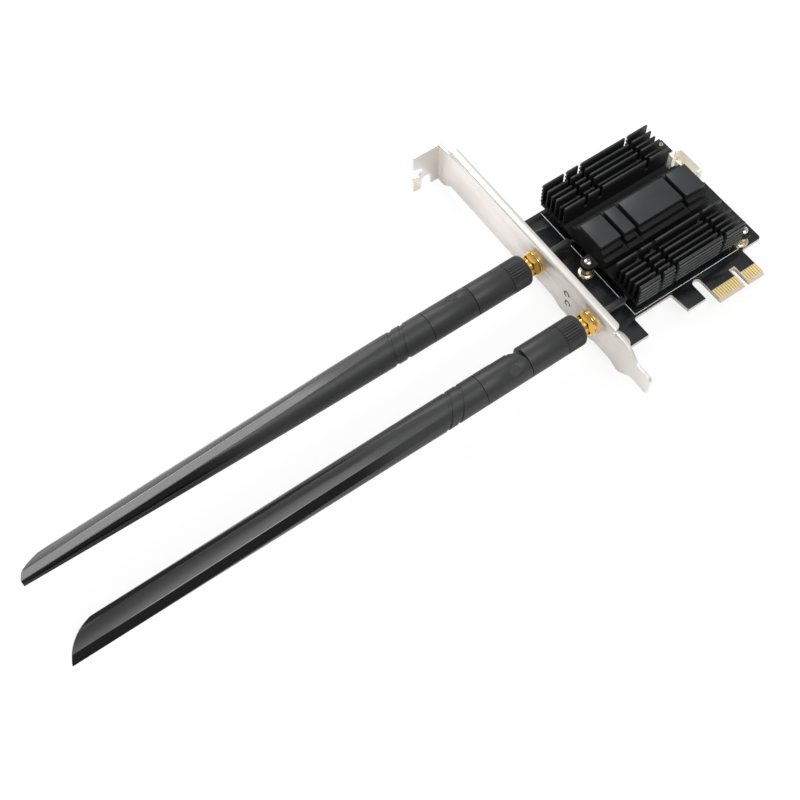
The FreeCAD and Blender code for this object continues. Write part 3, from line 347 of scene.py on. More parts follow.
@dataclass(frozen=True)
class PlatedSheet(Finish):
    """Bright nickel plating over rolled sheet, with faint long scratches."""

    name: str = "nickel_plated_sheet"
    tint: tuple = (0.75, 0.715, 0.675, 1.0)
    dull: tuple = (0.70, 0.67, 0.635, 1.0)
    metallic: float = 0.82
    roughness: float = 0.32
    rough_spread: float = 0.16
    cloud_scale: float = 60.0
    scratch_scale: float = 900.0
    scratch_stretch: tuple = (1.0, 0.05, 1.0)
    scratch_depth: float = 0.000012

    def paint(self, graph: Graph) -> None:
        """Builds the shader.

        Args:
            graph: The empty graph.
        """
        cloud = graph.speckle(self.cloud_scale, 3.0)
        rolled = graph.speckle(self.scratch_scale, 3.0, self.scratch_stretch)
        graph.finish(Base_Color=graph.mixed(cloud * 0.6 + rolled * 0.25, self.tint, self.dull),
                     Metallic=self.metallic, Roughness=rolled * self.rough_spread + self.roughness,
                     Normal=graph.relief(rolled, self.scratch_depth, 0.35))


@dataclass(frozen=True)
class BlackAnodised(Finish):
    """Black anodised extrusion: satin on its tops, rougher in the channels with painted shade there, with one
    punch mark.
    """

    name: str = "black_anodised"
    # Painted shade for the channels and fin sides, far darker than the anodised colour of the tops.
    painted_channel_shade: tuple = (0.0008, 0.0008, 0.0009, 1.0)
    tops: tuple = (0.0210, 0.0220, 0.0232, 1.0)
    low: float = 14.0 * MM
    high: float = 16.4 * MM
    gloss: float = 0.38
    roughness: float = 0.62
    top_polish: float = 0.24
    mark: tuple = (-16.4 * MM, 39.6 * MM)
    mark_radii: tuple = (0.35 * MM, 0.75 * MM)
    relief_depth: float = 0.00012

    def paint(self, graph: Graph) -> None:
        """Builds the shader.

        Args:
            graph: The empty graph.
        """
        x, y, z = graph.axes()
        drawn = graph.speckle(2400.0, stretch=(0.02, 1.0, 1.0))
        cloud = graph.speckle(110.0)
        top = z.ramped(self.low, self.high)
        across, along = x - self.mark[0], y - self.mark[1]
        pit = (across * across + along * along).root().ramped(*self.mark_radii)
        # Below the tops the base colour darkens into the channels: painted shade.
        graph.finish(Base_Color=graph.mixed(top * (cloud * 0.5 + 0.75), self.painted_channel_shade, self.tops),
                     Roughness=self.roughness - top * self.top_polish + drawn * 0.08 + (1 - pit) * 0.3,
                     Specular_IOR_Level=self.gloss,
                     Normal=graph.relief(drawn * 0.3 + pit * 0.7, self.relief_depth, 0.5))


@dataclass(frozen=True)
class BlackResist(Finish):
    """Glossy black solder resist, with pale sawn edges and bare laminate round the gold contacts."""

    name: str = "black_resist"
    tint: tuple = (0.0040, 0.0045, 0.0055, 1.0)
    over_copper: tuple = (0.0075, 0.0082, 0.0095, 1.0)
    core: tuple = (0.50, 0.48, 0.44, 1.0)
    bevel: tuple = (0.50, 0.44, 0.36, 1.0)
    between: tuple = (0.36, 0.22, 0.07, 1.0)
    edge_from: float = BOARD_TOP * 0.93
    contacts_top: float = 5.25 * MM
    contacts_foot: float = 1.2 * MM
    contacts_centre: float = -2.0 * MM
    contacts_half: float = 10.1 * MM
    key_half: float = 1.35 * MM
    key_top: float = 8.35 * MM
    cell_scale: float = 420.0
    roughness: float = 0.26

    def paint(self, graph: Graph) -> None:
        """Builds the shader.

        Args:
            graph: The empty graph.
        """
        x, y, z = graph.axes()
        cells = graph.add(Kind.CELLS, {"distance": "CHEBYCHEV"},
                          {"Vector": graph.place(), "Scale": self.cell_scale})
        copper = graph.read(cells).ramped(0.22, 0.26)
        edge = abs(z) < self.edge_from
        foot = y < self.contacts_foot
        tongue = (y < self.contacts_top) * (abs(x - self.contacts_centre) < self.contacts_half)
        key = (abs(x) < self.key_half) * (y < self.key_top)
        face = graph.mixed(copper, self.over_copper, self.tint)
        for mask, paint in ((tongue, self.between), (edge, self.core), (foot, self.bevel), (key, self.bevel)):
            face = graph.mixed(mask, face, paint)
        graph.finish(Base_Color=face, Roughness=edge * 0.40 + foot * 0.2 + self.roughness,
                     Normal=graph.relief(copper, 0.00003, 0.2))


@dataclass(frozen=True)
class AntennaPlastic(Finish):
    """Black moulding: matt round skin, polished blade facets, and a painted highlight along the ridges."""

    axis_y: float
    roll: float
    facets_from: float = -118.25 * MM
    facets_end: float = -259.45 * MM
    round_radius: float = 5.77 * MM
    tip_radius: float = 5.10 * MM
    under_skin: tuple = (0.05 * MM, 0.16 * MM)
    facets_fade: tuple = (-158.0 * MM, -134.0 * MM)
    gloss_fade: tuple = (-205.0 * MM, -160.0 * MM)
    satin_share: float = 0.55
    satin_low: float = -3.4 * MM
    satin_gap: float = 0.05 * MM
    crown: float = math.radians(12.7)
    crown_radius: float = 25.0 * MM
    ridge_tip: float = 2.30 * MM
    ridge_root: float = 1.60 * MM
    spine_half: float = 1.2 * MM
    line_inside: float = 0.22 * MM
    line_outside: float = 0.06 * MM
    line_ends: tuple = (-250.0 * MM, -225.0 * MM, -190.0 * MM, -165.0 * MM)
    line_root_share: float = 0.35
    highlight_share: float = 0.5
    matt: tuple = (0.0240, 0.0245, 0.0246, 1.0)
    polished: tuple = (0.0024, 0.0025, 0.0028, 1.0)
    # Colour of the painted highlight along the ridge line, for the light that the polished edge catches.
    painted_ridge_highlight: tuple = (0.34, 0.34, 0.33, 1.0)
    roughness: float = 0.42
    polish: float = 0.33
    gloss: float = 0.31
    grain_scale: float = 5200.0
    grain_depth: float = 0.000007

    def paint(self, graph: Graph) -> None:
        """Builds the shader.

        Args:
            graph: The empty graph.
        """
        x, y, z = graph.axes()
        across, above = y - self.axis_y, z - JACK_Z
        cos, sin = math.cos(math.radians(self.roll)), math.sin(math.radians(self.roll))
        off = (across * across + above * above).root()
        along = x.ramped(self.facets_end, self.facets_from, 1.0, 0.0)
        skin = self.round_radius - along * (self.round_radius - self.tip_radius)
        facet = (skin - off).ramped(*self.under_skin) * x.ramped(*self.facets_fade, 1.0, 0.0)
        high = abs(above * cos - across * sin)
        width = high * math.sin(self.crown) - (across * cos + above * sin) * math.cos(self.crown)
        ridge = x.ramped(self.facets_end, self.facets_from, self.ridge_tip, self.ridge_root)
        satin = (width < ridge - self.satin_gap) * (width > self.satin_low)
        gloss = facet.at_least(x.ramped(*self.gloss_fade, 1.0, 0.0)) * (1 - satin * self.satin_share)
        on_side = facet * (high > self.spine_half)
        inner = width.at_most(ridge)
        crowned = (inner * inner) * (-1.0 / (2 * self.crown_radius)) * on_side
        # line marks a thin strip at the ridge edge that is painted lighter: a painted highlight, fading out
        # towards the tip and partly towards the root.
        line = (width > ridge - self.line_inside) * (width < ridge + self.line_outside) * on_side
        line = line * x.ramped(*self.line_ends[:2]) * x.ramped(*self.line_ends[2:], 1.0, self.line_root_share)
        grain = graph.speckle(self.grain_scale)
        shade = graph.mixed(gloss, self.matt, self.polished)
        graph.finish(Base_Color=graph.mixed(line * self.highlight_share, shade, self.painted_ridge_highlight),
                     Roughness=self.roughness - gloss * self.polish + grain * 0.06,
                     Specular_IOR_Level=self.gloss,
                     Normal=graph.relief(grain * (1 - gloss) * self.grain_depth + crowned, 1.0))


@dataclass(frozen=True)
class WhiteFloor(Finish):
    """A floor that is nearly white to the camera and still keeps the shadow."""

    tint: tuple = (0.90, 0.90, 0.90, 1.0)
    white: float = 0.86

    def paint(self, graph: Graph) -> None:
        """Builds the shader.

        Args:
            graph: The empty graph.
        """
        surface = graph.add(Kind.DIFFUSE, inputs={"Color": self.tint})
        white = graph.add(Kind.GLOW, inputs={"Color": colour(1.0, 1.0, 1.0), "Strength": 1.0})
        share = graph.read(graph.add(Kind.RAY), "Is Camera Ray") * self.white
        blend = graph.add(Kind.BLEND, inputs={0: share, 1: surface.outputs[0], 2: white.outputs[0]})
        graph.add(Kind.OUTPUT, inputs={"Surface": blend.outputs[0]})


GOLD = PlainFinish("gold_plating", colour(0.95, 0.60, 0.17), 0.20, 1.0, 0.08, 1500.0, 0.000006)
CONTACT_GOLD = PlainFinish("contact_gold", colour(0.98, 0.80, 0.39), 0.32, 0.75, 0.06)
BRASS = PlainFinish("plain_brass", colour(0.84, 0.68, 0.42), 0.26, 1.0)
SCREW_STEEL = PlainFinish("screw_steel", colour(0.76, 0.75, 0.73), 0.28, 1.0)
CAN_STEEL = PlainFinish("tinned_can", colour(0.62, 0.62, 0.61), 0.38, 0.9)
CREAM = PlainFinish("cream_moulding", colour(0.82, 0.81, 0.76), 0.42, 0.0, 0.03)
BLACK_MOULDING = PlainFinish("black_moulding", colour(0.020, 0.020, 0.021), 0.46)
SLEEVE = PlainFinish("shrink_sleeve", colour(0.016, 0.016, 0.017), 0.34)
LEAD_JACKET = PlainFinish("lead_jacket", colour(0.020, 0.020, 0.021), 0.38)
PAD = PlainFinish("soft_pad", colour(0.42, 0.43, 0.46), 0.80)
GREEN_RESIST = PlainFinish("module_resist", colour(0.010, 0.035, 0.018), 0.30)
CERAMIC = PlainFinish("brown_ceramic", colour(0.42, 0.31, 0.20), 0.50)
PRINT_WHITE = PlainFinish("white_print", colour(0.72, 0.72, 0.70), 0.60, 0.0, 0.03)
PRINT_BLACK = PlainFinish("black_print", colour(0.02, 0.02, 0.02), 0.55, 0.0, 0.03)
SOLDER = PlainFinish("solder", colour(0.66, 0.64, 0.58), 0.26, 0.95)
TINNED_BRASS = PlainFinish("tinned_brass", colour(0.66, 0.57, 0.42), 0.30, 1.0)
WHITE_FLOOR = WhiteFloor("white_floor")
RIB_BLACK = BlackAnodised("black_anodised_ribs", colour(0.020, 0.021, 0.022), colour(0.022, 0.023, 0.024),
                          gloss=0.8)


def plastic(side: Side) -> AntennaPlastic:
    """The plastic of one antenna, whose facets lie at that antenna's roll."""
    return AntennaPlastic(f"{side.value}_antenna_plastic", JACK_Y[side], ROLL[side])


CARD_FINISHES = {
    "circuit_board": BlackResist(), "edge_contacts_front": CONTACT_GOLD, "edge_contacts_back": CONTACT_GOLD,
    "bracket": PlatedSheet(), "bracket_screws": SCREW_STEEL, "heat_sink": BlackAnodised(),
    "heat_sink_screws": SCREW_STEEL, "heat_sink_posts": BRASS, "wireless_module": GREEN_RESIST,
    "module_shield": CAN_STEEL, "radio_chip": BLACK_MOULDING, "thermal_pad": PAD,
    "module_socket": BLACK_MOULDING, "module_post": BRASS, "module_screw": SCREW_STEEL,
    "pin_header": CREAM, "header_pins": GOLD, "chip_capacitors": CERAMIC}
JACK_FINISHES = {"jack": GOLD, "lock_washer": GOLD, "hex_nut": GOLD, "coax_plug": GOLD, "lead": LEAD_JACKET,
                 "shrink_sleeve": SLEEVE}
PLASTIC_PARTS = ("collar", "barrel", "knuckle", "hinge_pin", "blade")

# The width in millimetres of each eased solid's bevels. At 0 the copy is only shaded smooth.
CARD_BEVELS = {"bracket": 0.16, "heat_sink": 0.10, "circuit_board": 0.08, "pin_header": 0.12,
               "module_socket": 0.12, "chip_capacitors": 0.08, "header_pins": 0.10, "module_screw": 0.12}
SIDE_BEVELS = {"lock_washer": 0.10, "barrel": 0.10, "knuckle": 0.10, "shrink_sleeve": 0.20, "hinge_pin": 0.0,
               "lead": 0.0}


class Bench:
    """The operators and selections that every piece is shaped with."""

    @staticmethod
    def clear() -> None:
        """Leaves edit mode and deselects everything."""
        if bpy.context.object is not None and bpy.context.object.mode != "OBJECT":
            bpy.ops.object.mode_set(mode="OBJECT")
        bpy.ops.object.select_all(action="DESELECT")

    @staticmethod
    def take(thing: Piece) -> None:
        """Makes one object the only selected and active one.

        Args:
            thing: The object.
        """
        Bench.clear()
        thing.select_set(True)
        bpy.context.view_layer.objects.active = thing

    @staticmethod
    def freeze(thing: Piece) -> None:
        """Applies a piece's place, turn and size to its mesh."""
        Bench.take(thing)
        bpy.ops.object.transform_apply(location=True, rotation=True, scale=True)

    @staticmethod
    def faces(thing: Piece, wanted: Callable) -> int:
        """Selects the faces that pass a test, in object mode.

        Args:
            thing: The object.
            wanted: A test of a face's centre and normal.

        Returns:
            How many faces are selected.
        """
        Bench.close()
        mesh = thing.data
        for element in (*mesh.vertices, *mesh.edges):
            element.select = False
        for polygon in mesh.polygons:
            polygon.select = bool(wanted(polygon.center, polygon.normal))
        return sum(polygon.select for polygon in mesh.polygons)

    @staticmethod
    def edit(pick: Pick = Pick.FACES, whole: bool = False) -> None:
        """Opens edit mode.

        Args:
            pick: The kind of selection.
            whole: Whether to select the whole mesh.
        """
        bpy.ops.object.mode_set(mode="EDIT")
        bpy.context.tool_settings.mesh_select_mode = pick.value
        if whole:
            bpy.ops.mesh.select_all(action="SELECT")

    @staticmethod
    def close() -> None:
        """Returns to object mode."""
        bpy.ops.object.mode_set(mode="OBJECT")

    @staticmethod
    def settle(thing: Piece, angle: float = 35.0) -> Piece:
        """Applies place and shading to a finished piece.

        Args:
            thing: The piece.
            angle: Edges sharper than this stay sharp, in degrees.

        Returns:
            The same piece.
        """
        Bench.freeze(thing)
        bpy.ops.object.shade_smooth_by_angle(angle=math.radians(angle))
        return thing

    @staticmethod
    def modify(thing: Piece, kind: Modifier, **settings: object) -> None:
        """Adds a modifier and applies it.

        Args:
            thing: The piece.
            kind: The modifier's type.
            settings: Its settings.
        """
        Bench.take(thing)
        modifier = thing.modifiers.new(kind.name.lower(), kind.value)
        for name, value in settings.items():
            setattr(modifier, name, value)
        bpy.ops.object.modifier_apply(modifier=modifier.name)

    @staticmethod
    def block(size: tuple, place: tuple, turn: float = 0.0) -> Piece:
        """A box.

        Args:
            size: Its three sizes.
            place: Its centre.
            turn: Its turn about the Z axis, in radians.

        Returns:
            The box, with its size applied.
        """
        Bench.clear()
        bpy.ops.mesh.primitive_cube_add(size=1.0, location=place, rotation=(0.0, 0.0, turn))
        box = bpy.context.object
        box.scale = size
        Bench.take(box)
        bpy.ops.object.transform_apply(location=False, rotation=False, scale=True)
        return box

    @staticmethod
    def lathe(name: str, profile: tuple, vertices: int = 64, looped: bool = False) -> Piece:
        """Turns a profile about the Z axis, ring by ring.

        Args:
            name: The piece's name.
            profile: Pairs of height and radius, in millimetres.
            vertices: Corners of each ring.
            looped: Whether the last ring meets the first, as on a tube, or both ends are closed.

        Returns:
            The turned piece, at the origin.
        """
        Bench.clear()
        rings = [(height * MM, radius * MM) for height, radius in profile]
        height, radius = rings[0]
        bpy.ops.mesh.primitive_circle_add(vertices=vertices, radius=radius, location=(0.0, 0.0, 0.0))
        piece = bpy.context.object
        piece.name = name
        for vertex in piece.data.vertices:
            vertex.co.z = height
        Bench.edit(Pick.EDGES, True)
        for above, wider in rings[1:]:
            share = wider / radius
            bpy.ops.mesh.extrude_region_move(TRANSFORM_OT_translate={"value": (0.0, 0.0, above - height)})
            bpy.ops.transform.resize(value=(share, share, 1.0), center_override=(0.0, 0.0, above))
            height, radius = above, wider
        if not looped:
            bpy.ops.mesh.edge_face_add()
        bpy.ops.mesh.select_all(action="DESELECT")
        bpy.ops.mesh.select_non_manifold()
        if looped:
            bpy.ops.mesh.bridge_edge_loops()
        else:
            bpy.ops.mesh.edge_face_add()
        bpy.ops.mesh.select_all(action="SELECT")
        bpy.ops.mesh.normals_make_consistent(inside=False)
        Bench.close()
        return piece

    @staticmethod
    def outwards(piece: Piece, reach: float, y: float) -> Piece:
        """Lays a turned piece along a jack's axis, its top away from the bracket.

        Args:
            piece: The piece.
            reach: Its base's distance from the bracket's face.
            y: The jack's place.

        Returns:
            The same piece.
        """
        piece.rotation_euler = (0.0, -math.pi / 2, 0.0)
        piece.location = (BRACKET_X - reach, y, JACK_Z)
        return piece

    @staticmethod
    def carve(piece: Piece, tool: Piece, inside: bool = False) -> None:
        """Cuts a piece with a tool, which is then removed.

        Args:
            piece: The piece.
            tool: The cutting shape.
            inside: Whether the part inside the tool stays, and not the part outside it.
        """
        Bench.modify(piece, Modifier.BOOLEAN, object=tool, solver="EXACT",
                     operation="INTERSECT" if inside else "DIFFERENCE")
        bpy.data.objects.remove(tool)

    @staticmethod
    def hollow(disc: Piece, rim: float) -> None:
        """Leaves only a ring of a flat disc.

        Args:
            disc: The disc.
            rim: The ring's width.
        """
        Bench.take(disc)
        Bench.edit(whole=True)
        bpy.ops.mesh.inset(thickness=rim, depth=0.0)
        bpy.ops.mesh.delete(type="FACE")
        Bench.close()

    @staticmethod
    def join(name: str, things: list) -> Piece:
        """Joins pieces into one object.

        Args:
            name: The new name.
            things: The pieces.

        Returns:
            The joined object.
        """
        Bench.take(things[0])
        for thing in things[1:]:
            thing.select_set(True)
        bpy.ops.object.join()
        things[0].name = things[0].data.name = name
        return things[0]

    @staticmethod
    def copy_of(thing: Piece, shift: Vector) -> Piece:
        """Copies a piece with its mesh.

        Args:
            thing: The piece.
            shift: How far the copy moves.

        Returns:
            The copy, with its place applied.
        """
        twin = thing.copy()
        twin.data = thing.data.copy()
        bpy.context.scene.collection.objects.link(twin)
        twin.location = thing.location + shift
        Bench.freeze(twin)
        return twin


class Wardrobe:
    """Every finish, built once and handed out by name."""

    def __init__(self) -> None:
        """Starts empty."""
        self.made: dict = {}

    def get(self, finish: Finish) -> Material:
        """Looks a finish up, and builds it on first use.

        Args:
            finish: The finish.

        Returns:
            Its material.
        """
        if finish.name not in self.made:
            self.made[finish.name] = finish.material()
        return self.made[finish.name]

    def dress(self, thing: Piece, finish: Finish) -> None:
        """Gives a piece one finish all over."""
        thing.data.materials.clear()
        thing.data.materials.append(self.get(finish))


WARDROBE = Wardrobe()


def dress(thing: Piece, finish: Finish, body: str = "card") -> None:
    """Gives a piece its finish and its body.

    Args:
        thing: The piece.
        finish: Its finish.
        body: The moving body that it rides on.
    """
    WARDROBE.dress(thing, finish)
    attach(thing, body)
    LOG.info("%s: %d faces", thing.name, len(thing.data.polygons))


def stand_in(thing: Piece, finish: Finish, node: str) -> None:
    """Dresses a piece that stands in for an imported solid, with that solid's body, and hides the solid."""
    dress(thing, finish, BODIES[node])
    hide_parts(node)


@dataclass(frozen=True)
class SolidDressing:
    """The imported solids' finishes, and eased copies of those whose edges catch the light."""

    merge: float = 1e-6
    flat: float = 0.4
    sharp: float = 32.0
    smooth: float = 28.0
    lead_smooth: float = 60.0

    @staticmethod
    def tables() -> tuple:
        """Spells the tables out for both antennas.

        Returns:
            The finish of every solid, and the bevel of every eased one, by name.
        """
        finishes, bevels = dict(CARD_FINISHES), dict(CARD_BEVELS)
        for side in Side:
            finishes.update({f"{side.value}_{part}": finish for part, finish in JACK_FINISHES.items()})
            finishes.update({f"{side.value}_{part}": plastic(side) for part in PLASTIC_PARTS})
            bevels.update({f"{side.value}_{part}": width for part, width in SIDE_BEVELS.items()})
        return finishes, bevels

    def build(self) -> None:
        """Dresses every node, and replaces some with eased copies."""
        finishes, bevels = self.tables()
        for name, node in frame["nodes"].items():
            WARDROBE.dress(node, finishes[name])
            if name in bevels:
                copy = self.ease(node, bevels[name] * MM)
                if name.endswith("_lead"):
                    Bench.modify(copy, Modifier.SUBDIVIDE, levels=2, render_levels=2)
                    Bench.settle(copy, self.lead_smooth)
                stand_in(copy, finishes[name], name)

    def ease(self, node: Piece, width: float) -> Piece:
        """A merged copy of a solid with small bevels.

        Args:
            node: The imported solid.
            width: The bevel's width in metres, or 0 for none.

        Returns:
            The copy.
        """
        copy = node.copy()
        copy.data = node.data.copy()
        copy.name = f"{node.name}_eased"
        copy.parent = None
        bpy.context.scene.collection.objects.link(copy)
        copy.matrix_world = Matrix.Identity(4)
        Bench.take(copy)
        Bench.edit(Pick.CORNERS, True)
        bpy.ops.mesh.remove_doubles(threshold=self.merge)
        bpy.ops.mesh.dissolve_limited(angle_limit=math.radians(self.flat))
        bpy.ops.mesh.select_all(action="DESELECT")
        Bench.close()
        if width > 0:
            Bench.modify(copy, Modifier.BEVEL, width=width, segments=2, limit_method="ANGLE",
                         angle_limit=math.radians(self.sharp), harden_normals=False, use_clamp_overlap=True)
        return Bench.settle(copy, self.smooth)


@dataclass(frozen=True)
class Blades:
    """The blades: tapering round bars planed to ridged facets, with two slanted grooves and a slanted tip."""

    start: float = 46.6 * MM
    straight: float = 14.5 * MM
    length: float = 155.7 * MM
    radius: float = 5.77 * MM
    tip_radius: float = 5.10 * MM
    neck: float = 0.28 * MM
    neck_share: float = 0.955
    facets: tuple = ((63.3, 2.38), (77.3, 1.5), (105.1, 2.4))
    grooves: tuple = (9.1, 13.7)
    groove_wide: float = 1.3 * MM
    groove_deep: float = 0.34 * MM
    groove_edge: float = 0.03 * MM
    groove_slant: float = 26.7
    curve: tuple = (15.2, -11.1, 16.5)
    curve_turn: float = 106.5
    curve_step: float = 5.0
    curve_planes: int = 12
    edge_bevel: float = 0.11 * MM
    edge_sharp: float = 8.0
    corners: int = 144
    smooth: float = 7.0

    def build(self) -> None:
        """Shapes one blade and turns a copy of it to each antenna."""
        first = self.bar()
        self.plane_facets(first)
        self.slant_tip(first)
        self.cut_grooves(first)
        Bench.modify(first, Modifier.BEVEL, width=self.edge_bevel, segments=2, limit_method="ANGLE",
                     angle_limit=math.radians(self.edge_sharp), use_clamp_overlap=True)
        second = Bench.copy_of(first, Vector())
        for side, blade in ((Side.UPPER, first), (Side.LOWER, second)):
            blade.name = f"{side.value}_blade_planed"
            blade.rotation_euler = (math.radians(ROLL[side]), 0.0, 0.0)
            blade.location = (BRACKET_X - self.start, JACK_Y[side], JACK_Z)
            Bench.settle(blade, self.smooth)
            stand_in(blade, plastic(side), f"{side.value}_blade")

    def bar(self) -> Piece:
        """Models the round bar, straight at its base and then tapering.

        Returns:
            The bar, along minus X from the origin.
        """
        Bench.clear()
        taper = self.length - self.straight
        bpy.ops.mesh.primitive_cone_add(vertices=self.corners, radius1=self.radius, radius2=self.tip_radius,
                                        depth=taper, location=(-self.straight - taper / 2, 0.0, 0.0),
                                        rotation=(0.0, -math.pi / 2, 0.0))
        bar = bpy.context.object
        Bench.freeze(bar)
        Bench.faces(bar, lambda centre, normal: normal.x > 0.9)
        Bench.edit()
        for step in (self.straight - self.neck, self.neck):
            bpy.ops.mesh.extrude_region_move(TRANSFORM_OT_translate={"value": (step, 0.0, 0.0)})
        bpy.ops.transform.resize(value=(1.0, self.neck_share, self.neck_share),
                                 center_override=(0.0, 0.0, 0.0))
        Bench.close()
        return bar

    @staticmethod
    def slice_off(thing: Piece, point: Vector, normal: Vector, keep: bool = False) -> None:
        """Cuts along a plane, and removes what lies beyond it.

        Args:
            thing: The piece.
            point: A point of the plane.
            normal: The plane's outward normal.
            keep: Whether both parts stay, with only new edges between them.
        """
        Bench.take(thing)
        Bench.edit(whole=True)
        bpy.ops.mesh.bisect(plane_co=tuple(point), plane_no=tuple(normal), use_fill=not keep,
                            clear_outer=not keep, threshold=1e-7)
        Bench.close()

    def plane_facets(self, bar: Piece) -> None:
        """Planes the six facets, each leaning in towards the tip.

        Args:
            bar: The bar.
        """
        run = self.length - self.straight
        for turn, tip in self.facets:
            for hand in (1.0, -1.0):
                angle = math.radians(turn)
                normal = Vector((-(self.radius - tip * MM) / run, math.cos(angle), hand * math.sin(angle)))
                point = Vector((-self.straight, 0.0, 0.0)) + normal * (self.radius / normal.length_squared)
                self.slice_off(bar, point, normal.normalized())

    def slant_tip(self, bar: Piece) -> None:
        """Rounds the tip off on a slant, by planes that touch its curve.

        Args:
            bar: The bar.
        """
        back, side, radius = (part * MM for part in self.curve)
        for index in range(self.curve_planes):
            angle = math.radians(self.curve_turn + index * self.curve_step)
            normal = Vector((math.cos(angle), math.sin(angle), 0.0))
            self.slice_off(bar, Vector((-self.length + back, side, 0.0)) + normal * radius, normal)

    def cut_grooves(self, bar: Piece) -> None:
        """Sinks two slanted grooves round the straight base.

        Args:
            bar: The bar.
        """
        slant = math.radians(self.groove_slant)
        normal = Vector((math.cos(slant), -math.sin(slant), 0.0))
        half = self.groove_wide / 2
        for place in self.grooves:
            centre = Vector((-place * MM, 0.0, 0.0))
            for shift in (half, -half):
                self.slice_off(bar, centre + normal * shift, normal, True)
            count = Bench.faces(bar, lambda middle, way: abs((middle - centre).dot(normal)) < half * 0.9
                                and abs(way.x) < 0.5)
            Bench.edit()
            bpy.ops.mesh.inset(thickness=self.groove_edge, depth=-self.groove_deep)
            Bench.close()
            LOG.info("groove of %d faces", count)


@dataclass(frozen=True)
class Collars:
    """The antennas' screw collars, with a fine knurl round them. Lengths are millimetres."""

    front: float = 4.77
    long: float = 7.93
    chamfer: float = 1.3
    radius: float = 5.77
    bore: float = 3.2
    lip: float = 2.6
    lip_long: float = 0.9
    ribs: int = 36
    depth: float = 0.32
    smooth: float = 26.0

    def build(self) -> None:
        """Turns and knurls a collar for each antenna."""
        for side in Side:
            stand_in(self.collar(side), plastic(side), f"{side.value}_collar")

    def collar(self, side: Side) -> Piece:
        """Models one knurled collar.

        Args:
            side: Its antenna.

        Returns:
            The collar.
        """
        wide, end, chamfer = self.radius, self.long, self.chamfer
        profile = ((end - self.lip_long, self.bore), (0.0, self.bore), (0.0, wide - 0.75),
                   (0.25, wide - 0.40), (0.75, wide - 0.12), (chamfer, wide - 0.02), (chamfer + 0.2, wide),
                   (chamfer + 0.45, wide), (end - 0.40, wide), (end - 0.2, wide), (end - 0.08, wide),
                   (end, wide - 0.10), (end, self.lip), (end - self.lip_long, self.lip))
        piece = Bench.lathe(f"{side.value}_collar_knurled", profile, self.ribs * 3, True)
        low, high = (chamfer + 0.3) * MM, (end - 0.2) * MM
        for vertex in piece.data.vertices:
            off = math.hypot(vertex.co.x, vertex.co.y)
            turn = round(math.atan2(vertex.co.y, vertex.co.x) / math.tau * self.ribs * 3)
            if low < vertex.co.z < high and off > (wide - 0.05) * MM and turn % 3 == 0:
                vertex.co.x *= 1 - self.depth * MM / off
                vertex.co.y *= 1 - self.depth * MM / off
        return Bench.settle(Bench.outwards(piece, self.front * MM, JACK_Y[side]), self.smooth)


@dataclass(frozen=True)
class Screw:
    """A domed screw with a cross recess. Lengths are millimetres."""

    head: float
    tall: float
    thread: float
    reach: float
    recess: float
    dome: tuple = (0.0, 0.35, 0.7, 1.0, 1.25, 1.42)
    cross_turn: float = 0.4
    corners: int = 40

    def build(self, place: tuple, below: bool) -> Piece:
        """Models the screw.

        Args:
            place: Where the head sits, in metres.
            below: Whether the screw points up, with its head below.

        Returns:
            The screw.
        """
        head, tall, thread = self.head, self.tall, self.thread
        profile = [(-self.reach, thread * 0.8), (0.25 - self.reach, thread), (0.0, thread),
                   (0.0, head * 0.97), (0.08, head)]
        profile += [(tall * (0.35 + 0.65 * math.sin(turn)), head * math.cos(turn) ** 0.75)
                    for turn in self.dome]
        screw = Bench.lathe("screw", tuple(profile), self.corners)
        for turn in (self.cross_turn, self.cross_turn + math.pi / 2):
            size = (head * 1.25 * MM, self.recess * 0.5 * MM, tall * 1.1 * MM)
            blade = Bench.block(size, (0.0, 0.0, tall * MM), turn)
            Bench.modify(blade, Modifier.BEVEL, width=self.recess * 0.12 * MM, segments=1)
            Bench.carve(screw, blade)
        screw.rotation_euler = (math.pi if below else 0.0, 0.0, 0.0)
        screw.location = place
        return screw


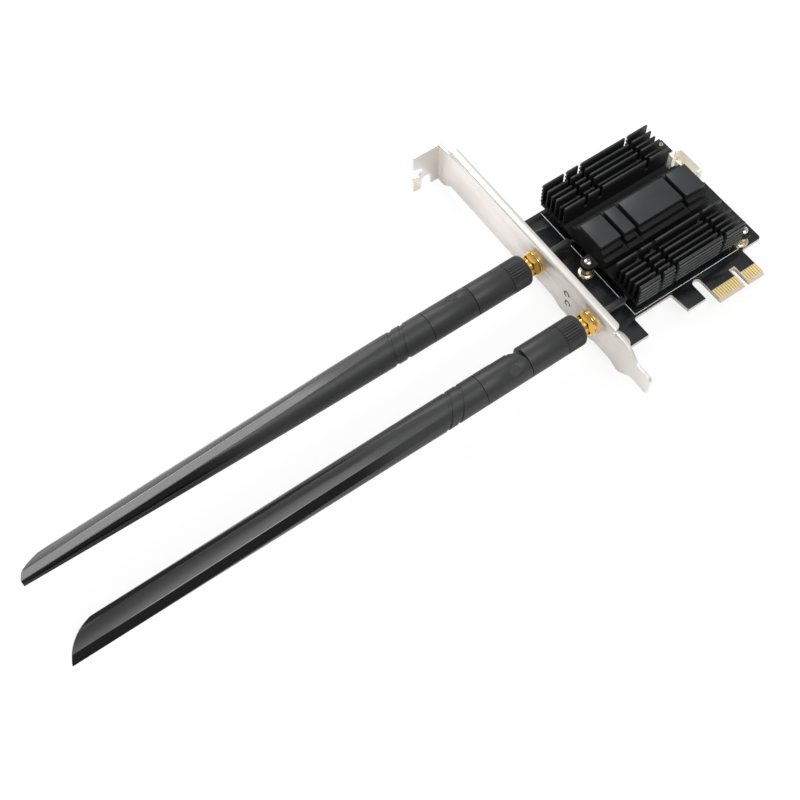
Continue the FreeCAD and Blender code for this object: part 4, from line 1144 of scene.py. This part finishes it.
@dataclass(frozen=True)
class Fasteners:
    """The screws with their cross recesses, the posts with their solder, and the jacks' chamfered nuts.

    Lengths are millimetres. The posts' profiles start at the board's top.
    """

    sink_screws: tuple = ((-42.75, 36.65), (10.25, 15.35))
    ear_screws: tuple = ((-51.35, 62.15), (-51.35, 7.75))
    sink_floor: float = 6.8
    sink_screw: Screw = Screw(1.6, 1.2, 1.0, 4.8, 0.85)
    ear_screw: Screw = Screw(2.75, 1.9, 1.5, 2.55, 0.9)
    post: tuple = ((4.6, 1.0), (4.6, 1.70), (4.45, 1.85), (2.5, 1.85), (2.4, 1.75), (2.1, 1.75), (2.0, 1.85),
                   (0.1, 1.85), (0.02, 1.0))
    solder: tuple = ((0.02, 1.8), (0.75, 1.88), (0.35, 2.10), (0.15, 2.45), (0.10, 2.85), (0.02, 2.90))
    nut_thick: float = 2.3
    nut_across: float = 8.0
    nut_bore: float = 3.17
    nut_seat: float = 0.6
    nut_chamfer: tuple = (0.34, 0.62)
    post_corners: int = 48
    bar_corners: int = 72
    smooth: float = 30.0

    def build(self) -> None:
        """Builds every fastener."""
        heads = [self.sink_screw.build((x * MM, y * MM, self.sink_floor * MM), False)
                 for x, y in self.sink_screws]
        stand_in(self.joined(heads, "sink_screws_recessed"), SCREW_STEEL, "heat_sink_screws")
        backs = [self.ear_screw.build((x * MM, y * MM, -BOARD_TOP), True) for x, y in self.ear_screws]
        stand_in(self.joined(backs, "ear_screws_recessed"), SCREW_STEEL, "bracket_screws")
        posts = [self.on_board(self.post, x, y) for x, y in self.sink_screws]
        stand_in(self.joined(posts, "posts_turned"), BRASS, "heat_sink_posts")
        fillets = [self.on_board(self.solder, x, y) for x, y in self.sink_screws]
        dress(self.joined(fillets, "post_solder"), TINNED_BRASS)
        for side in Side:
            nut = self.joined([self.nut(side)], f"{side.value}_nut_chamfered")
            stand_in(nut, GOLD, f"{side.value}_hex_nut")

    def joined(self, pieces: list, name: str) -> Piece:
        """Settles a set of pieces as one.

        Args:
            pieces: The pieces.
            name: Their name.

        Returns:
            The whole.
        """
        for piece in pieces:
            Bench.freeze(piece)
        whole = Bench.settle(Bench.join(name, pieces) if len(pieces) > 1 else pieces[0], self.smooth)
        whole.name = name
        return whole

    def on_board(self, profile: tuple, x: float, y: float) -> Piece:
        """Turns a looped profile about a place on the board.

        Args:
            profile: Pairs of height over the board and radius.
            x: Its place along the card.
            y: Its place across the card.

        Returns:
            The turned piece.
        """
        top = BOARD_TOP / MM
        raised = tuple((top + height, radius) for height, radius in profile)
        piece = Bench.lathe("turned", raised, self.post_corners, True)
        piece.location = (x * MM, y * MM, 0.0)
        return piece

    def nut(self, side: Side) -> Piece:
        """Models a hexagon nut with the round chamfers of a turned bar.

        Args:
            side: Its antenna.

        Returns:
            The nut.
        """
        thick, bore, corner = self.nut_thick, self.nut_bore, self.nut_across / math.sqrt(3.0)
        run, drop = self.nut_chamfer
        nut = Bench.lathe("nut", ((thick, bore), (0.0, bore), (0.0, corner), (thick, corner)), 6, True)
        bar = Bench.lathe("bar", ((0.0, corner - drop), (run, corner + 0.01), (thick - run, corner + 0.01),
                                  (thick, corner - drop)), self.bar_corners)
        Bench.carve(nut, bar, True)
        Bench.carve(nut, Bench.lathe("bore", ((-1.0, bore), (4.0, bore))))
        return Bench.outwards(nut, self.nut_seat * MM, JACK_Y[side])


@dataclass(frozen=True)
class SinkRibs:
    """The fine ribs on the heat sink's two outer faces, cut through at the cross cuts, in millimetres."""

    left: float = -40.15
    spans: tuple = ((0.0, 8.8), (10.5, 15.25), (16.95, 36.65), (38.35, 47.0))
    centre: float = 40.05
    face: float = 26.6
    floor: float = 6.8
    pitch: float = 1.95
    tall: float = 1.0
    reach: float = 0.6
    softness: float = 0.22
    rows: int = 5
    smooth: float = 20.0

    def build(self) -> None:
        """Models one rib of each length and copies it up both faces."""
        ribs = []
        for start, end in self.spans:
            first = self.rib(start, end)
            for across in (0.0, -2 * self.face - self.reach):
                for row in range(self.rows):
                    if across or row:
                        ribs.append(Bench.copy_of(first, Vector((0.0, across, row * self.pitch)) * MM))
            ribs.append(first)
        whole = Bench.settle(Bench.join("sink_ribs", ribs), self.smooth)
        dress(whole, RIB_BLACK)

    def rib(self, start: float, end: float) -> Piece:
        """One rib with softened edges.

        Args:
            start: Its start from the sink's left end.
            end: Its end.

        Returns:
            The lowest rib on the upper face.
        """
        place = (self.left + (start + end) / 2, self.centre + self.face + self.reach / 2,
                 self.floor + self.tall / 2)
        size = (end - start, self.reach, self.tall)
        rib = Bench.block(tuple(part * MM for part in size), tuple(part * MM for part in place))
        Bench.freeze(rib)
        Bench.modify(rib, Modifier.BEVEL, width=self.softness * MM, segments=2)
        return rib


@dataclass(frozen=True)
class JackThreads:
    """The fine screw thread that shows between each nut and its antenna's collar."""

    start: float = 2.95 * MM
    end: float = 7.2 * MM
    crest: float = 3.17 * MM
    root: float = 2.95 * MM
    pitch: float = 0.7 * MM
    steps_a_turn: int = 36
    smooth: float = 40.0

    def build(self) -> None:
        """Models one threaded length and copies it to the other jack."""
        first = self.thread(JACK_Y[Side.UPPER])
        twin = Bench.copy_of(first, Vector((0.0, JACK_Y[Side.LOWER] - JACK_Y[Side.UPPER], 0.0)))
        for side, piece in ((Side.UPPER, first), (Side.LOWER, twin)):
            piece.name = f"{side.value}_jack_thread"
            dress(piece, GOLD)

    def thread(self, axis_y: float) -> Piece:
        """A ridge's profile spun into a helix round the jack's axis.

        Args:
            axis_y: The axis's place.

        Returns:
            The thread.
        """
        Bench.clear()
        bpy.ops.mesh.primitive_plane_add(size=1.0, location=(0.0, 0.0, 0.0))
        ridge = bpy.context.object
        corners = ((-0.45, self.root), (0.45, self.root), (-0.09, self.crest), (0.09, self.crest))
        for vertex, (share, radius) in zip(ridge.data.vertices, corners):
            vertex.co = Vector((share * self.pitch, 0.0, radius))
        run = self.end - self.start
        steps = int(self.steps_a_turn * run / self.pitch)
        Bench.modify(ridge, Modifier.SCREW, axis="X", angle=math.tau * run / self.pitch, screw_offset=-run,
                     steps=steps, render_steps=steps, use_merge_vertices=False)
        Bench.take(ridge)
        Bench.edit(Pick.CORNERS, True)
        bpy.ops.mesh.normals_make_consistent(inside=False)
        Bench.close()
        ridge.location = Vector((BRACKET_X - self.start, axis_y, JACK_Z))
        return Bench.settle(ridge, self.smooth)


@dataclass(frozen=True)
class BoardPrint:
    """The printed lines and bare metal rings on the board's component side. The tables are millimetres."""

    height: float = 0.03 * MM
    line: float = 0.22 * MM
    runs: tuple = (((-40.05, 66.0), (-40.05, 13.05)), ((-39.85, 13.05), (7.55, 13.05)),
                   ((7.55, 13.05), (7.55, 21.0)))
    rings: tuple = ((15.85, 65.25, 0.62, 0.85), (-42.75, 36.65, 2.80, 3.0), (10.25, 15.35, 2.80, 3.0))

    def build(self) -> None:
        """Models the lines and the rings."""
        bars = [self.bar(Vector(start) * MM, Vector(end) * MM) for start, end in self.runs]
        lines = Bench.settle(Bench.join("board_lines", bars))
        dress(lines, PRINT_WHITE)
        rings = [self.ring(*(part * MM for part in ring)) for ring in self.rings]
        pads = Bench.settle(Bench.join("board_pads", rings))
        dress(pads, SOLDER)

    def bar(self, start: Vector, end: Vector) -> Piece:
        """One printed line with softened edges.

        Args:
            start: Its first end.
            end: Its other end.

        Returns:
            The line.
        """
        middle, run = (start + end) / 2, end - start
        size = (max(abs(run.x), self.line), max(abs(run.y), self.line), self.height)
        bar = Bench.block(size, (middle.x, middle.y, BOARD_TOP + self.height / 2))
        Bench.modify(bar, Modifier.BEVEL, width=self.height * 0.4, segments=1)
        return bar

    def ring(self, x: float, y: float, inner: float, outer: float) -> Piece:
        """One bare metal ring.

        Args:
            x: Its place along the card.
            y: Its place across the card.
            inner: The hole's radius.
            outer: The ring's radius.

        Returns:
            The ring.
        """
        Bench.clear()
        bpy.ops.mesh.primitive_circle_add(vertices=48, radius=outer, fill_type="NGON",
                                          location=(x, y, BOARD_TOP + self.height))
        ring = bpy.context.object
        Bench.hollow(ring, outer - inner)
        Bench.modify(ring, Modifier.SOLIDIFY, thickness=self.height, offset=-1.0)
        return ring


@dataclass(frozen=True)
class BracketMarks:
    """Two plain printed arcs on the bracket's face between the jacks."""

    places: tuple = ((30.5, 6.9), (29.4, 2.5))
    radius: float = 1.5 * MM
    line: float = 0.65 * MM
    proud: float = 0.02 * MM
    opening: float = -0.2

    def build(self) -> None:
        """Models one open ring and copies it."""
        (y, z), (twin_y, twin_z) = ([part * MM for part in place] for place in self.places)
        Bench.clear()
        bpy.ops.mesh.primitive_circle_add(vertices=40, radius=self.radius, fill_type="NGON",
                                          location=(BRACKET_X - self.proud, y, z),
                                          rotation=(0.0, -math.pi / 2, 0.0))
        arc = bpy.context.object
        Bench.freeze(arc)
        Bench.hollow(arc, self.line)
        Bench.faces(arc, lambda centre, normal: centre.z - z < self.opening * self.radius and centre.y < y)
        Bench.edit()
        bpy.ops.mesh.delete(type="FACE")
        Bench.close()
        Bench.modify(arc, Modifier.SOLIDIFY, thickness=self.proud, offset=-1.0)
        twin = Bench.copy_of(arc, Vector((0.0, twin_y - y, twin_z - z)))
        marks = Bench.settle(Bench.join("bracket_marks", [arc, twin]))
        dress(marks, PRINT_BLACK)


@dataclass(frozen=True)
class Lamp:
    """One soft rectangular lamp."""

    name: str
    place: tuple
    size: tuple
    power: float
    target: tuple

    def build(self) -> None:
        """Sets the lamp up, facing its target."""
        Bench.clear()
        way = Vector(self.target) - Vector(self.place)
        turn = way.to_track_quat("-Z", "Y").to_euler()
        bpy.ops.object.light_add(type="AREA", location=self.place, rotation=turn)
        lamp = bpy.context.object
        lamp.name = f"lamp_{self.name}"
        lamp.data.shape = "RECTANGLE"
        lamp.data.size, lamp.data.size_y = self.size
        lamp.data.energy = self.power


@dataclass(frozen=True)
class Studio:
    """The white floor and sky, two soft lamps, and the camera of the photograph."""

    eye: tuple = (-248.35, -148.25, 399.7)
    azimuth: float = -34.13
    elevation: float = 61.30
    roll: float = -1.06
    lens: float = 61.13
    sensor: float = 36.0
    clip_start: float = 0.01
    floor_size: float = 6.0
    floor_drop: float = 0.2 * MM
    sky_light: float = 0.80
    sky_gloss: float = 0.45
    overhead: tuple = (0.30, 0.12, 0.95)
    overhead_span: tuple = (0.80, 0.985)
    overhead_gain: float = 0.34
    lamps: tuple = (Lamp("near", (-0.08, -0.45, 1.11), (0.66, 0.46), 7.5, (-0.19, 0.02, 0.0)),
                    Lamp("far", (-0.06, 0.96, 0.76), (0.80, 0.42), 9.5, (-0.19, 0.04, 0.0)))

    def build(self) -> None:
        """Builds floor, light and camera."""
        self.floor()
        self.sky()
        for lamp in self.lamps:
            lamp.build()
        self.camera()
        LOG.info("studio: floor, sky, %d lamps, camera", len(self.lamps))

    def floor(self) -> None:
        """A white floor just under the card."""
        Bench.clear()
        low = CAD_BOX[0][2] - self.floor_drop
        bpy.ops.mesh.primitive_plane_add(size=self.floor_size, location=(0.0, 0.0, low))
        plane = bpy.context.object
        plane.name = "floor"
        WARDROBE.dress(plane, WHITE_FLOOR)

    def sky(self) -> None:
        """A soft white sky, plain white to the camera and brighter overhead to glossy surfaces."""
        world = bpy.data.worlds.new("soft_white")
        bpy.context.scene.world = world
        world.use_nodes = True
        graph = Graph(world.node_tree)
        ray = graph.add(Kind.RAY)
        seen = graph.read(ray, "Is Camera Ray") + graph.read(ray, "Is Transmission Ray")
        glossy = graph.read(ray, "Is Glossy Ray")
        way = graph.add(Kind.COORDINATES).outputs["Generated"]
        above = graph.add(Kind.VECTOR, {"operation": "DOT_PRODUCT"}, {0: way, 1: self.overhead})
        patch = graph.read(above, "Value").ramped(*self.overhead_span) * self.overhead_gain + self.sky_gloss
        strength = seen + glossy * (1 - seen) * patch + (1 - glossy) * (1 - seen) * self.sky_light
        sky = graph.add(Kind.BACKGROUND, inputs={"Color": colour(1.0, 1.0, 1.0), "Strength": strength})
        graph.add(Kind.SKY_OUTPUT, inputs={"Surface": sky.outputs[0]})

    def camera(self) -> None:
        """The camera at the photograph's place, turn and lens."""
        turn, rise, roll = (math.radians(part) for part in (self.azimuth, self.elevation, self.roll))
        facing = (Matrix.Rotation(turn, 3, "Z") @ Matrix.Rotation(math.pi / 2 - rise, 3, "X")
                  @ Matrix.Rotation(roll, 3, "Z"))
        Bench.clear()
        bpy.ops.object.camera_add(location=Vector(self.eye) * MM, rotation=facing.to_euler())
        camera = bpy.context.object
        camera.data.lens = self.lens
        camera.data.sensor_width = self.sensor
        camera.data.clip_start = self.clip_start
        bpy.context.scene.camera = camera
        bpy.context.scene.view_settings.view_transform = "Standard"


def main() -> None:
    """Builds every piece in order."""
    for part in (SolidDressing(), Blades(), Collars(), Fasteners(), SinkRibs(), JackThreads(), BoardPrint(),
                 BracketMarks(), Studio()):
        LOG.info("building %s", type(part).__name__)
        part.build()
    Bench.clear()


if __name__ == "__main__":
    main()
